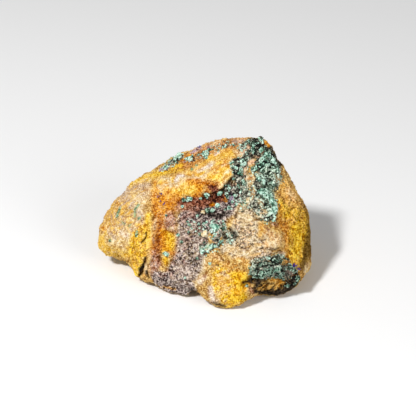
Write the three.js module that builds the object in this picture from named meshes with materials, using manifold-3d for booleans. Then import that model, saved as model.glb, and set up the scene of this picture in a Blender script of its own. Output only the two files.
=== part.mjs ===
// An azurite and malachite hand specimen: a broken lump of limonite matrix about 90 mm across, with
// crusts of malachite grown on its front, crest and back, and small clusters of azurite crystals.
// Millimetres, +Z up. The lump rests on a flat break at z = 0, and the origin is the middle of its
// box at that level. The display side faces -Y.
import * as THREE from "three";
import { ConvexHull } from "three/addons/math/ConvexHull.js";
import { ImprovedNoise } from "three/addons/math/ImprovedNoise.js";
import { mergeVertices } from "three/addons/utils/BufferGeometryUtils.js";
import Module from "manifold-3d";

const wasm = await Module();
wasm.setup();

// --- Driving dimensions ---------------------------------------------------------------------------

// The lump is measured as it is looked at: from the front, with the eye this far above level. A point
// on the display side is [across, up, out]: to the right, up the view and towards the eye, from the
// middle of the view. VIEW_MIDDLE is where that middle lies over the bench.
const VIEW_ELEVATION = THREE.MathUtils.degToRad(30);
const VIEW_MIDDLE = new THREE.Vector3(0, 4, 27);

// The outline of the display side, clockwise from the left tip.
const OUTLINE = [
  [-49, -15, -6], [-47, -6, -6], [-43.5, -1, -5], [-38.5, 5.5, -5], [-33.5, 11, -5],
  [-25.5, 14.5, -4], [-17.5, 19.5, -3], [-10.5, 24, -2], [-2.5, 27.5, 0], [9, 29.5, 4],
  [17, 30, 7], [22.5, 31, 9], [26.5, 27.5, 8], [30.5, 20, 4], [35.5, 11.5, 1], [40, 4, 0],
  [43.5, -1.5, 1], [43.5, -13.5, 3], [45, -25, 2], [41, -31, 7], [36.5, -35.5, 11], [30.5, -38, 14],
  [22.5, -36, 15], [18.5, -37.5, 17], [14.5, -40.5, 19], [9.5, -42.5, 20], [2, -42, 20],
  [-2.5, -38.5, 18], [-5, -33.5, 14], [-9, -38, 15], [-13.5, -35.5, 13], [-19, -35.5, 11],
  [-24.5, -31, 7], [-30.5, -30.5, 4], [-34, -25.5, 0], [-36, -21.5, -4], [-42, -21.5, -7],
  [-47, -20, -7],
];

// The display side inside that outline.
const LEFT_LOBE = [
  [-35, -7, 10], [-41, -13.5, 4], [-38.5, -2, 4], [-31, 3.5, 8], [-32, -17, 10], [-27.5, -23, 11],
];
const LOBE_EDGE = [[-24.5, 7.5, 9.5], [-24, -1.5, 15.5], [-24.5, -12.5, 16.5], [-25, -22.5, 14]];
const TROUGH = [[-19, 1.5, 12.5], [-19, -10, 14], [-19.5, -22, 13.5], [-18, -29.5, 13.5]];
const TOP_BAND = [[-14, 17, 1], [-1.5, 23.5, 4], [10, 26, 8]];
const SHELF = [
  [-22.5, 12, 4], [-12, 15, 7.5], [-1.5, 18.5, 12], [8.5, 21, 15], [-12.5, 8.5, 15],
  [-1.5, 12.5, 19], [6.5, 10, 21], [12, 17.5, 18.5],
];
const RECESS = [
  [-5.5, 2.5, 16.5], [5, 4.5, 17.5], [9.5, 9.5, 17], [15, 14, 16], [-7.5, -8.5, 19.5],
  [-10, -20, 19.5], [-7.5, -30.5, 17.5],
];
const BELLY = [
  [-1.5, -26, 22.5], [3, -7, 22.5], [11.5, -3, 26], [18, -11.5, 29.5], [11.5, -18, 28.5],
  [23, -6, 27.5], [28.5, -13.5, 26], [9.5, -30.5, 26.5], [3, -35.5, 24.5], [15.5, -34, 25],
  [23, -20, 28.5],
];
const UPPER_SLOPE = [
  [18, 7.5, 22], [24.5, 12, 17], [20, 20.5, 15], [27, 18.5, 11], [29, 3.5, 19.5], [32.5, 9.5, 11],
];
const RIGHT_SIDE = [[33, -3, 17], [39, -7, 11], [32.5, -15.5, 21.5], [40, -18, 12], [36.5, -25.5, 16]];
const FOOT = [[23, -29.5, 21.5], [30.5, -25, 22], [30.5, -32.5, 17.5], [18, -32.5, 22.5]];

// The sides that face away, as [x, y, z] over the bench, from the crest down to the floor.
const BACK = [
  [-22, 20, 37], [-2, 20, 47], [16, 17, 53], [29, 17, 41], [37, 17, 24], [-38, 15, 24],
  [-36, 22, 13], [-20, 30, 22], [2, 31, 30], [21, 29, 27], [-8, 35, 12], [14, 36, 10],
  [33, 26, 10], [-26, 30, 7], [40, 12, 8], [28, 28, 3], [4, 34, 2], [-18, 30, 1], [-36, 16, 4],
];
// Below the bench: what reaches under it is broken off flat.
const BREAK = [
  [-26, 2, -2], [-13, -12, -2], [6, -26, -2], [24, -16, -2], [32, 4, -2], [14, 24, -2],
  [-12, 20, -2], [0, 0, -3],
];

// How fine the skin is, how far its edges are worn, and the waves that roughen it: each one's length
// and height.
const SKIN_DETAIL = 15;
const WORN = { rounds: 1, share: 0.4 };
const WAVES = [{ length: 13, height: 1.1 }, { length: 5.5, height: 0.55 }];

// Malachite crusts. Each is a lumpy plaque along a route on the skin, and stands this proud of it. The
// stops of a route are [across, up, half width] on the display side, and [x, z, half width] over the
// bench on the back.
const CRUSTS = [
  { name: "malachite_summit", proud: 1.8, route: [[17, 27, 2.6], [21, 27.5, 3.6], [20.5, 23.5, 2.6]] },
  {
    name: "malachite_slope",
    proud: 1.6,
    route: [
      [25.5, 22, 3], [24.5, 17.5, 8], [24.5, 11.5, 7.5], [22.5, 6, 5], [24.5, 1.5, 6], [25, -2, 4.5],
    ],
  },
  { name: "malachite_cluster", proud: 1.5, route: [[13.5, 10, 1.8], [13.5, 14, 2.2], [12.5, 18, 4]] },
  { name: "malachite_saddle", proud: 1.1, route: [[7.5, 7, 2.2], [15.5, 6, 2.8], [17.5, 2.5, 2.2]] },
  {
    name: "malachite_pocket",
    proud: 1.2,
    route: [[3, -6.5, 2.6], [3, -10, 3.4], [2.5, -14, 2.8], [-2, -17, 2]],
  },
  {
    name: "malachite_ledge",
    proud: 3.2,
    route: [[20, -25.5, 4], [25.5, -24, 5.5], [31, -25, 5], [35, -27.5, 3]],
  },
  { name: "malachite_brow", proud: 1.1, route: [[-18, 16.5, 2], [-15, 19, 2.6], [-11.5, 21.5, 2.2]] },
  { name: "malachite_ridge", proud: 1, route: [[-7.5, 20, 1.8], [-0.5, 23, 2.8], [7, 26, 2.4]] },
  {
    name: "malachite_back",
    proud: 1.7,
    behind: true,
    route: [[6, 38, 3], [12, 30, 5], [10, 21, 4], [16, 14, 2.5]],
  },
  { name: "malachite_back_low", proud: 1.4, behind: true, route: [[-17, 24, 2.5], [-25, 16, 3]] },
];

// Azurite: small sheaves of blades that stand up from the skin, [across, up] of each one's middle.
const AZURITES = [
  { name: "azurite_ledge", at: [36, -23], blades: 6, length: 2.4 },
  { name: "azurite_shelf", at: [-20, 5.5], blades: 4, length: 1.6 },
  { name: "azurite_brow", at: [-18, 14], blades: 4, length: 1.6 },
];

// What grew on the skin is modelled this clear of it.
const CLEARANCE = 0.35;

// A crust is a grid this fine. It has lumps and a ragged edge, each with its length and its share of
// the crust's height or width. It dives under the skin at its edge, and runs on down to its root.
const GRAIN = 1.5;
const LUMPS = { length: 2.6, share: 0.5 };
const RAGGED = { length: 2.2, share: 0.35 };
const EDGE_DIVE = 0.5;
const ROOT = 1.6;
const LEAST_HALF_WIDTH = 0.4;
const SHOULDER = 3; // how square a crust's section is: 2 is round, more is squarer
const END_SWELL = 1.5; // how soon a crust reaches its full height from its round ends

// An azurite blade: its width and thickness are shares of its length. The outer blades of a sheaf lean
// out by up to this angle, and are shorter by up to this share.
const BLADE = { sides: 6, width: 0.55, thickness: 0.32, tip: 0.75, lean: 0.7, shorter: 0.3 };

// --- The matrix -----------------------------------------------------------------------------------

const noise = new ImprovedNoise();

// A point of the display side, over the bench.
function onBench([across, up, out]) {
  return new THREE.Vector3(across, -out, up)
    .applyAxisAngle(new THREE.Vector3(1, 0, 0), -VIEW_ELEVATION)
    .add(VIEW_MIDDLE);
}

// Flat facets between neighbouring points, as seen from the middle of the lump.
function facetsBetween(points, middle) {
  const pointAt = new Map(points.map((p) => [p.clone().sub(middle).normalize(), p]));
  const hull = new ConvexHull().setFromPoints([...pointAt.keys()]);
  return hull.faces.map((face) => {
    const corners = [face.edge.prev, face.edge, face.edge.next];
    return new THREE.Triangle(...corners.map((edge) => pointAt.get(edge.head().point)));
  });
}

// A ball of small triangles with shared vertices and no attribute but position.
function ball(detail) {
  const geometry = new THREE.IcosahedronGeometry(1, detail);
  geometry.deleteAttribute("normal");
  geometry.deleteAttribute("uv");
  return mergeVertices(geometry);
}

function neighboursOf(geometry) {
  const sets = Array.from({ length: geometry.attributes.position.count }, () => new Set());
  const index = geometry.index.array;
  for (let i = 0; i < index.length; i += 3) {
    for (let k = 0; k < 3; k++) sets[index[i + k]].add(index[i + ((k + 1) % 3)]);
  }
  return sets.map((set) => [...set]);
}

function roughness(p) {
  let sum = 0;
  for (const { length, height } of WAVES) {
    sum += height * noise.noise(p.x / length, p.y / length, p.z / length);
  }
  return sum;
}

// How far it is from the middle of the lump to its facets, that way.
function reachAlong(way, facets) {
  const ray = new THREE.Ray(VIEW_MIDDLE, way);
  const hit = new THREE.Vector3();
  let farthest = 0;
  for (const { a, b, c } of facets) {
    if (!ray.intersectTriangle(a, b, c, false, hit)) continue;
    farthest = Math.max(farthest, hit.distanceTo(VIEW_MIDDLE));
  }
  return farthest;
}

function matrixGeometry() {
  const display = [
    OUTLINE, LEFT_LOBE, LOBE_EDGE, TROUGH, TOP_BAND, SHELF, RECESS, BELLY, UPPER_SLOPE, RIGHT_SIDE,
    FOOT,
  ];
  const points = display.flat().map(onBench);
  points.push(...[...BACK, ...BREAK].map((p) => new THREE.Vector3(...p)));
  const facets = facetsBetween(points, VIEW_MIDDLE);

  const geometry = ball(SKIN_DETAIL);
  const skin = geometry.attributes.position;
  const ways = [];
  let reach = [];
  for (let i = 0; i < skin.count; i++) {
    ways.push(new THREE.Vector3().fromBufferAttribute(skin, i).normalize());
    reach.push(reachAlong(ways[i], facets));
  }
  const neighbours = neighboursOf(geometry);
  for (let round = 0; round < WORN.rounds; round++) {
    reach = reach.map((r, i) => {
      const around = neighbours[i].reduce((sum, j) => sum + reach[j], 0) / neighbours[i].length;
      return THREE.MathUtils.lerp(r, around, WORN.share);
    });
  }
  for (let i = 0; i < skin.count; i++) {
    const p = ways[i].clone().multiplyScalar(reach[i]).add(VIEW_MIDDLE);
    p.addScaledVector(ways[i], roughness(p));
    skin.setXYZ(i, p.x, p.y, Math.max(p.z, 0));
  }
  return geometry;
}

// --- Solids ---------------------------------------------------------------------------------------

function solidOf(geometry) {
  const vertProperties = new Float32Array(geometry.attributes.position.array);
  const triVerts = new Uint32Array(geometry.index.array);
  return new wasm.Manifold(new wasm.Mesh({ numProp: 3, vertProperties, triVerts }));
}

function geometryOf(solid) {
  const { vertProperties, triVerts } = solid.getMesh();
  const geometry = new THREE.BufferGeometry();
  geometry.setAttribute("position", new THREE.BufferAttribute(vertProperties, 3));
  geometry.setIndex(new THREE.BufferAttribute(triVerts, 1));
  return geometry;
}

// The same skin, this much further out.
function swollen(geometry, by) {
  const grown = geometry.clone();
  grown.computeVertexNormals();
  const { position, normal } = grown.attributes;
  for (let i = 0; i < position.count; i++) {
    const p = new THREE.Vector3().fromBufferAttribute(position, i);
    p.addScaledVector(new THREE.Vector3().fromBufferAttribute(normal, i), by);
    position.setXYZ(i, ...p);
  }
  return grown;
}

function joined(solids) {
  return solids.reduce((all, solid) => all.add(solid));
}

function largestOf(solid) {
  return solid.decompose().reduce((a, b) => (a.volume() > b.volume() ? a : b));
}

// --- What grew on the matrix ----------------------------------------------------------------------

const FAR = 200;
const EYE = new THREE.Vector3(0, -Math.cos(VIEW_ELEVATION), Math.sin(VIEW_ELEVATION));
const BEHIND = new THREE.Vector3(0, 1, 0);

// Where a line of sight meets the skin: the point, and the way the skin faces there.
function seatOf([a, b], behind) {
  const from = behind ? new THREE.Vector3(a, 0, b) : onBench([a, b, 0]);
  const eye = behind ? BEHIND : EYE;
  const sight = new THREE.Raycaster(from.addScaledVector(eye, FAR), eye.clone().negate());
  const [{ point, face }] = sight.intersectObject(matrix);
  return { point, facing: face.normal.clone() };
}

// The point of the skin on the line from the middle of the lump through p.
function dropped(p) {
  const outward = p.clone().sub(VIEW_MIDDLE).normalize();
  const from = VIEW_MIDDLE.clone().addScaledVector(outward, FAR);
  const [{ point }] = new THREE.Raycaster(from, outward.clone().negate()).intersectObject(matrix);
  return { point, outward };
}

// A closed sheet between two grids of points with the same rows and columns.
function slab(top, under, rows, columns) {
  const geometry = new THREE.BufferGeometry().setFromPoints([...top, ...under]);
  const at = (row, column, below) => below * top.length + row * (columns + 1) + column;
  const index = [];
  const quad = (a, b, c, d) => index.push(a, b, c, a, c, d);
  for (let i = 0; i < rows; i++) {
    for (let j = 0; j < columns; j++) {
      quad(at(i, j, 0), at(i, j + 1, 0), at(i + 1, j + 1, 0), at(i + 1, j, 0));
      quad(at(i, j, 1), at(i + 1, j, 1), at(i + 1, j + 1, 1), at(i, j + 1, 1));
    }
    quad(at(i, 0, 0), at(i + 1, 0, 0), at(i + 1, 0, 1), at(i, 0, 1));
    quad(at(i, columns, 0), at(i, columns, 1), at(i + 1, columns, 1), at(i + 1, columns, 0));
  }
  for (let j = 0; j < columns; j++) {
    quad(at(0, j, 0), at(0, j, 1), at(0, j + 1, 1), at(0, j + 1, 0));
    quad(at(rows, j, 0), at(rows, j + 1, 0), at(rows, j + 1, 1), at(rows, j, 1));
  }
  return geometry.setIndex(index);
}

// The stations along a crust's route, from past its first stop to past its last: each one's place, the
// way on, half the crust's width there, and how far its round end has closed in, from 1 down to 0.
function stationsAlong({ route, behind }) {
  const stops = route.map(([a, b]) => seatOf([a, b], behind).point);
  const spine = new THREE.CurvePath();
  for (let i = 1; i < stops.length; i++) spine.add(new THREE.LineCurve3(stops[i - 1], stops[i]));
  const legEnds = spine.getCurveLengths();
  const length = legEnds.at(-1);
  const first = route[0][2];
  const last = route.at(-1)[2];
  const rows = Math.round((length + first + last) / GRAIN);
  return Array.from({ length: rows + 1 }, (_, i) => {
    const run = THREE.MathUtils.lerp(-first, length + last, i / rows);
    const along = THREE.MathUtils.clamp(run, 0, length);
    const past = run - along;
    const way = spine.getTangentAt(along / length);
    const place = spine.getPointAt(along / length).addScaledVector(way, past);
    const leg = Math.max(0, legEnds.findIndex((end) => along <= end + 1e-6));
    const legStart = leg > 0 ? legEnds[leg - 1] : 0;
    const legShare = (along - legStart) / (legEnds[leg] - legStart);
    const width = THREE.MathUtils.lerp(route[leg][2], route[leg + 1][2], legShare);
    const rounding = Math.sqrt(Math.max(0, 1 - (past / width) ** 2));
    const ragged = noise.noise(...place.clone().divideScalar(RAGGED.length));
    const half = Math.max(LEAST_HALF_WIDTH, width * rounding * (1 + RAGGED.share * ragged));
    return { place, way, half, rounding };
  });
}

// A lumpy plaque with round ends, seated on the skin along its route.
function crust(spec, extra) {
  const stations = stationsAlong(spec);
  const widest = Math.max(...spec.route.map((stop) => stop[2]));
  const columns = 2 * Math.round(widest / GRAIN);
  const top = [];
  const under = [];
  for (const { place, way, half, rounding } of stations) {
    const side = place.clone().sub(VIEW_MIDDLE).normalize().cross(way).normalize();
    for (let j = 0; j <= columns; j++) {
      const across = (2 * j) / columns - 1;
      const spot = place.clone().addScaledVector(side, -across * (half + extra));
      const { point, outward } = dropped(spot);
      const lumpy = noise.noise(...point.clone().divideScalar(LUMPS.length));
      const full = spec.proud * (1 + LUMPS.share * lumpy);
      const rise = (1 - Math.abs(across) ** SHOULDER) * Math.min(1, rounding * END_SWELL);
      const height = THREE.MathUtils.lerp(-EDGE_DIVE, full, rise) + extra;
      top.push(point.clone().addScaledVector(outward, height));
      under.push(point.clone().addScaledVector(outward, -ROOT));
    }
  }
  return solidOf(slab(top, under, stations.length - 1, columns));
}

const GOLDEN_ANGLE = Math.PI * (3 - Math.sqrt(5));

// A sheaf of tapered six-sided blades, the outer ones shorter and leaning out.
function sheaf({ at, blades, length }, extra) {
  const { point, facing } = seatOf(at);
  const upright = new THREE.Quaternion().setFromUnitVectors(new THREE.Vector3(0, 0, 1), facing);
  const solids = [];
  for (let i = 0; i < blades; i++) {
    const tall = length * (1 - BLADE.shorter * (i / blades)) + extra;
    const blade = new THREE.CylinderGeometry(BLADE.tip, 1, 2, BLADE.sides);
    blade.scale(length * BLADE.width + extra, tall, length * BLADE.thickness + extra);
    blade.deleteAttribute("normal");
    blade.deleteAttribute("uv");
    blade.rotateX(Math.PI / 2);
    blade.rotateY(BLADE.lean * Math.sqrt(i / blades));
    blade.rotateZ(i * GOLDEN_ANGLE);
    blade.applyQuaternion(upright);
    blade.translate(point.x, point.y, point.z);
    solids.push(solidOf(mergeVertices(blade)));
  }
  return joined(solids);
}

// --- The specimen ---------------------------------------------------------------------------------

const specimen = new THREE.Group();
const matrix = new THREE.Mesh(
  matrixGeometry(),
  new THREE.MeshStandardMaterial({ color: 0xc8902f, roughness: 0.9, metalness: 0 }),
);
matrix.name = "matrix";
matrix.updateMatrixWorld();
specimen.add(matrix);

const malachite = new THREE.MeshStandardMaterial({ color: 0x4f9a7c, roughness: 0.75, metalness: 0 });
const azurite = new THREE.MeshStandardMaterial({ color: 0x2a35a8, roughness: 0.3, metalness: 0 });

// Each growth gives way to the matrix and to the growths before it.
let taken = solidOf(swollen(matrix.geometry, CLEARANCE));
function grow(shape, spec, material) {
  const growth = largestOf(shape(spec, 0).subtract(taken));
  taken = taken.add(shape(spec, CLEARANCE));
  const mesh = new THREE.Mesh(geometryOf(growth), material);
  mesh.name = spec.name;
  specimen.add(mesh);
}
for (const spec of CRUSTS) grow(crust, spec, malachite);
for (const spec of AZURITES) grow(sheaf, spec, azurite);

const box = new THREE.Box3().setFromObject(specimen);
specimen.position.copy(box.getCenter(new THREE.Vector3())).negate().setZ(-box.min.z);

export default specimen;
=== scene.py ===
# %% [markdown]
# # A hand specimen of azurite and malachite
# The object is a broken lump of limonite, a rusty yellow ironstone about 9 cm across. Copper minerals
# grew on it: crusts of tiny green malachite balls, and a few sheaves of blue azurite blades.
# The frame holds its solids at their real size. This lesson gives them their surface: first the eye
# that looks at the lump, then the skin of the rock, its stains, the crusts, the loose balls, the grains
# and the azurite, and last the floor and the light.

# %% Load the frame
import math

import bmesh
import bpy
import numpy as np
from mathutils import Euler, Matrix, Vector, noise
from mathutils.bvhtree import BVHTree


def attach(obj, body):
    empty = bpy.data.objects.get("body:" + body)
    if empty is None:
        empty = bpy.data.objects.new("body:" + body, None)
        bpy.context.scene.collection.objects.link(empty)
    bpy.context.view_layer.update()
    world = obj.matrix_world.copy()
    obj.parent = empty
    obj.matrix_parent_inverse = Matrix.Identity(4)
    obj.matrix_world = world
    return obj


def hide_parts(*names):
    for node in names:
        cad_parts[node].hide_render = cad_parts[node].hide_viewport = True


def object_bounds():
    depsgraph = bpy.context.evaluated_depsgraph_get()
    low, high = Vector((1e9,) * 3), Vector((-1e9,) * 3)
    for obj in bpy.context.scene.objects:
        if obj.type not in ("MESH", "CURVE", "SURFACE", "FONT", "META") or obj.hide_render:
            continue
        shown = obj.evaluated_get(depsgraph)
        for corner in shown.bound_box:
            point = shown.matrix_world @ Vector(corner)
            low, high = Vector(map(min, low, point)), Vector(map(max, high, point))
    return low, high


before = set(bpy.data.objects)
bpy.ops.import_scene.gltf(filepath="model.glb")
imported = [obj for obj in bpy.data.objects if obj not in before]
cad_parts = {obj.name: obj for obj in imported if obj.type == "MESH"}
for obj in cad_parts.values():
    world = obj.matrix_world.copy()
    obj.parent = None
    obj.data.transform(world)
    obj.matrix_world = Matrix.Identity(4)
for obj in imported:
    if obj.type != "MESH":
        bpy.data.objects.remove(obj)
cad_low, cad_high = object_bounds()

MM = 0.001
print("solids:", len(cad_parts), "size in mm:", [round(side / MM, 1) for side in cad_high - cad_low])

# %% [markdown]
# ## The eye
# Collectors look down on a specimen from the front. Here the eye is 30 degrees above level and 75 cm
# away, behind a long lens, so that the lump is hardly foreshortened. Everything that has a place on the
# display side, such as a stain or a crystal, is given as it is seen from there: millimetres across and
# up from the middle of the view. That is how one would note it beside a drawing of the piece.

# %% The eye
# Lengths in mm. The view is this wide at the middle of the lump.
VIEW_MIDDLE = np.array([1.88, 3.8, 27.0])
VIEW_ELEVATION = math.radians(30)
EYE_DISTANCE = 750.0
VIEW_WIDTH = 177.5
SENSOR_WIDTH = 36.0

to_eye = np.array([0, -math.cos(VIEW_ELEVATION), math.sin(VIEW_ELEVATION)])
view_across = np.array([1.0, 0.0, 0.0])
view_up = np.array([0, math.sin(VIEW_ELEVATION), math.cos(VIEW_ELEVATION)])
eye = VIEW_MIDDLE + EYE_DISTANCE * to_eye

camera_data = bpy.data.cameras.new("eye")
camera_data.sensor_width = SENSOR_WIDTH
camera_data.lens = SENSOR_WIDTH * EYE_DISTANCE / VIEW_WIDTH
camera = bpy.data.objects.new("eye", camera_data)
camera.location = Vector(eye * MM)
camera.rotation_euler = Euler((math.pi / 2 - VIEW_ELEVATION, 0, 0))
bpy.context.scene.collection.objects.link(camera)
bpy.context.scene.camera = camera
print("lens:", round(camera_data.lens, 1), "mm")


# %% What the eye sees
def seen(points):
    """Where points are seen, as [across, up] in mm from the middle of the view."""
    offset = points - VIEW_MIDDLE
    nearer = EYE_DISTANCE / (EYE_DISTANCE - offset @ to_eye)
    return np.column_stack([offset @ view_across * nearer, offset @ view_up * nearer])


box_seen = seen(np.array([cad_low, cad_high]) / MM)
print("two corners of the box are seen at", box_seen.round(1).tolist())

# %% [markdown]
# ## Three kinds of unevenness
# Rock is uneven at every size, but not in the same way. Smooth noise gives swells, folded noise gives
# sharp ridges, and the distance to scattered seeds gives the close-packed cobbles of a grainy stone.
# Each is read at a point in space, so it has no seams and is the same on every run. Another seed reads
# it somewhere else.

# %% Noise
# How far apart, in lengths, two seeds are read, and how soon a cobble falls away from its middle.
RIPPLE_STEP = 7.3
COBBLE_STEP = 5.1
COBBLE_REACH = 1.3


def ripple(points, length, seed=0):
    """Swells this many mm long, up to about 0.7 high and as deep."""
    return np.array([noise.noise(p) for p in (points / length + RIPPLE_STEP * seed).tolist()])


def ridges(points, length, seed=0):
    """Sharp crests at 1, with broad hollows between them down to almost -2."""
    return 1 - 4 * np.abs(ripple(points, length, seed))


def cobbles(points, length, seed=0):
    """Round-topped grains at 1, with narrow gaps between them down to about -1."""
    spots = (points / length + COBBLE_STEP * seed).tolist()
    nearest = np.array([noise.voronoi(p)[0][0] for p in spots])
    return 1 - 2 * np.clip(nearest * COBBLE_REACH, 0, 1) ** 2


walk = np.arange(0, 80, 0.25)[:, None] * np.array([1.0, 0.7, 0.4])
for kind in (ripple, ridges, cobbles):
    heights = kind(walk, 4.0)
    print(kind.__name__, "from", heights.min().round(2), "to", heights.max().round(2))


# %% Steps and streaks
def smoothstep(low, high, x):
    """0 before low, 1 past high, and a smooth climb between. It falls where low is the larger."""
    share = np.clip((x - low) / (high - low), 0, 1)
    return share * share * (3 - 2 * share)


def streaks(points, slope, width, seed=0, stretch=4.0):
    """Ridges that run this many degrees above level as they are seen, each this many mm wide."""
    turn = math.radians(slope)
    along = math.cos(turn) * view_across + math.sin(turn) * view_up
    short = points - (1 - 1 / stretch) * (points @ along)[:, None] * along
    return 0.6 * ripple(short, width, seed) + 0.4 * ripple(short, width / 2, seed + 1)


print("a step from 0 to 2:", smoothstep(0, 2, np.arange(0, 2.5, 0.5)).tolist())

# %% [markdown]
# ## Brush strokes
# A stain, a crack and a pit are all long or round marks with a ragged edge, so one tool makes them: a
# stroke through a few stops, each with its half width. A stroke gives every point of the skin a number
# from 0, outside it, to 1, inside. What it is used for is decided later: it can colour or carve. The
# marks could be painted by hand as well, but a stroke can be read, moved and widened. One on the side
# that faces away can't be placed by the eye, so its stops are [x, z] instead.


# %% How far a stroke reaches
def beyond_stroke(spots, route):
    """How far, in mm, each spot lies outside a stroke through [across, up, half width] stops."""
    stops = np.array(route, float)
    nearest = np.full(len(spots), np.inf)
    for a, b in zip(stops, stops[1:] if len(stops) > 1 else stops):
        leg = b[:2] - a[:2]
        share = np.clip((spots - a[:2]) @ leg / max(leg @ leg, 1e-9), 0, 1)
        gap = np.linalg.norm(spots - a[:2] - share[:, None] * leg, axis=1)
        nearest = np.minimum(nearest, gap - a[2] - share * (b[2] - a[2]))
    return nearest


sample_route = [(0, 0, 1), (10, 0, 2)]
print("outside a sample stroke:", beyond_stroke(np.array([[0.0, 3.0], [10.0, 3.0]]), sample_route), "mm")

# %% A skin to paint on
# The noises that make an edge ragged, as share and length in mm. A stroke with this half width has all
# of it, and a thin one still has a little.
RAGGED = [(0.7, 3.1), (0.6, 1.2), (0.5, 0.55)]
WIDE = 1.8
LEAST_RAGGED = 0.2
# How soon a surface that turns from the eye changes from the display side to the other.
TURNED = 0.12


class Skin:
    """The points of a surface, with what the brushes need to know of them."""

    def __init__(self, points, normals):
        self.points = points
        self.spots = seen(points)
        self.spots_behind = np.column_stack([points[:, 0], points[:, 2]])
        self.shown = smoothstep(-TURNED, TURNED, normals @ to_eye)
        self.ragged = sum(
            share * ripple(points, length, seed) for seed, (share, length) in enumerate(RAGGED, start=1)
        )

    def stroke(self, route, soft=0.5, ragged=1.0, behind=False):
        """1 inside the stroke and 0 outside, with an edge this many mm soft. Wide ones are more ragged."""
        spots = self.spots_behind if behind else self.spots
        side = 1 - self.shown if behind else self.shown
        widest = max(stop[2] for stop in route)
        share = np.clip(widest / WIDE, LEAST_RAGGED, 1)
        beyond = beyond_stroke(spots, route) + ragged * share * self.ragged
        return side * (1 - smoothstep(-soft, soft, beyond))

    def covered(self, routes, soft, ragged=1.0):
        """1 inside any of these strokes and 0 outside them all."""
        return np.max([self.stroke(route, soft, ragged) for route in routes], axis=0)


# %% [markdown]
# ## Meshes in and out
# The solids in the frame are made of loose triangles, coarse enough to weigh and drop. A fine copy is
# joined up and rounded by subdivision. The rock is then remeshed to an even grid of small squares as
# well, so that every side of it takes the same detail. All the modelling below is on plain arrays of
# points in mm.


# %% Fine copies
def fine_copy(node, name, square=None, levels=1):
    """A copy of a node's mesh, joined up and subdivided, then remeshed to squares of this many mm."""
    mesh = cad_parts[node].data.copy()
    work = bmesh.new()
    work.from_mesh(mesh)
    bmesh.ops.remove_doubles(work, verts=work.verts, dist=0.001 * MM)
    work.to_mesh(mesh)
    work.free()
    mesh.materials.clear()
    source = bpy.data.objects.new(name + "_source", mesh)
    bpy.context.scene.collection.objects.link(source)
    rounding = source.modifiers.new("rounding", "SUBSURF")
    rounding.levels = rounding.render_levels = levels
    if square:
        grid = source.modifiers.new("grid", "REMESH")
        grid.mode = "VOXEL"
        grid.voxel_size = square * MM
    fine = bpy.data.meshes.new_from_object(source.evaluated_get(bpy.context.evaluated_depsgraph_get()))
    bpy.data.objects.remove(source)
    fine.name = name
    return placed(name, fine)


def placed(name, mesh):
    """A new object in the scene, at the origin, for a mesh that is already in its place."""
    piece = bpy.data.objects.new(name, mesh)
    bpy.context.scene.collection.objects.link(piece)
    return piece


# %% Points in and out
def read(items, name, width, kind=float):
    """One property of all the items of a mesh, as rows of this width."""
    flat = np.empty(len(items) * width, kind)
    items.foreach_get(name, flat)
    return flat.reshape(-1, width)


def points_of(mesh):
    return read(mesh.vertices, "co", 3) / MM


def normals_of(mesh):
    return read(mesh.vertices, "normal", 3)


def edges_of(mesh):
    return read(mesh.edges, "vertices", 2, int)


def move_points(mesh, points):
    """Puts the points in place, inside the box of the solids."""
    inside = np.clip(points, np.array(cad_low) / MM, np.array(cad_high) / MM)
    mesh.vertices.foreach_set("co", (inside * MM).ravel())
    mesh.update()


# %% Distances and room
# A point may face along a side of the box or lie on it, and neither may make the sums divide by nothing.
LEAST_SLANT = 0.05
LEAST_ROOM = 0.001


def search_tree(points, mesh):
    """A tree in mm that finds the nearest place on a mesh, and where a line meets it."""
    return BVHTree.FromPolygons(points.tolist(), [list(polygon.vertices) for polygon in mesh.polygons])


def distances(points, mesh, reach):
    """How far each point is from a mesh in mm, or reach where that is less."""
    tree = search_tree(points_of(mesh), mesh)
    found = [tree.find_nearest(point, reach)[3] for point in points.tolist()]
    return np.array([reach if distance is None else distance for distance in found])


def room_outward(points, normals):
    """How far each point can move along its normal inside the box of the solids, in mm."""
    low = points - np.array(cad_low) / MM
    high = np.array(cad_high) / MM - points
    along_axes = np.where(normals > 0, high, low) / np.maximum(np.abs(normals), LEAST_SLANT)
    return np.maximum(along_axes.min(axis=1), LEAST_ROOM)


# %% Averages
def evened(values, edges, rounds):
    """Each row of values, averaged with those of the points next to it, this many times."""
    count = np.bincount(edges.ravel(), minlength=len(values))[:, None]
    for _ in range(rounds):
        total = np.zeros_like(values)
        for column in range(values.shape[1]):
            total[:, column] = np.bincount(edges[:, 0], values[edges[:, 1], column], len(values))
            total[:, column] += np.bincount(edges[:, 1], values[edges[:, 0], column], len(values))
        values = total / np.maximum(count, 1)
    return values


# %% [markdown]
# ## The skin of the rock
# Limonite breaks with a rough, crumbly face. The relief has five sizes: crags of about a centimetre,
# knobs, small ridges, cobbles of 2 mm, and a fine tooth. It could be sculpted by hand, but noise gives
# every side the same wear and a height that is known. The side that faces away was never trimmed for
# show, so it gets two more sizes of bold ridges, clear of the crusts.

# %% Matrix relief
# The side of the skin's squares in mm, and for each size of relief its kind, length and height in mm.
SQUARE = 0.5
RELIEF = [
    (ridges, 9.0, 0.35),
    (ripple, 4.2, 0.35),
    (ridges, 3.1, 0.22),
    (cobbles, 2.0, 0.12),
    (ripple, 1.2, 0.18),
]
RELIEF_BEHIND = [
    (ridges, 15.0, 0.8),
    (ridges, 6.0, 0.5),
]
BEHIND_SEED = 20
FACING_AWAY = (0.1, 0.6)
CLEAR_OF_CRUSTS = 3.0

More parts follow.
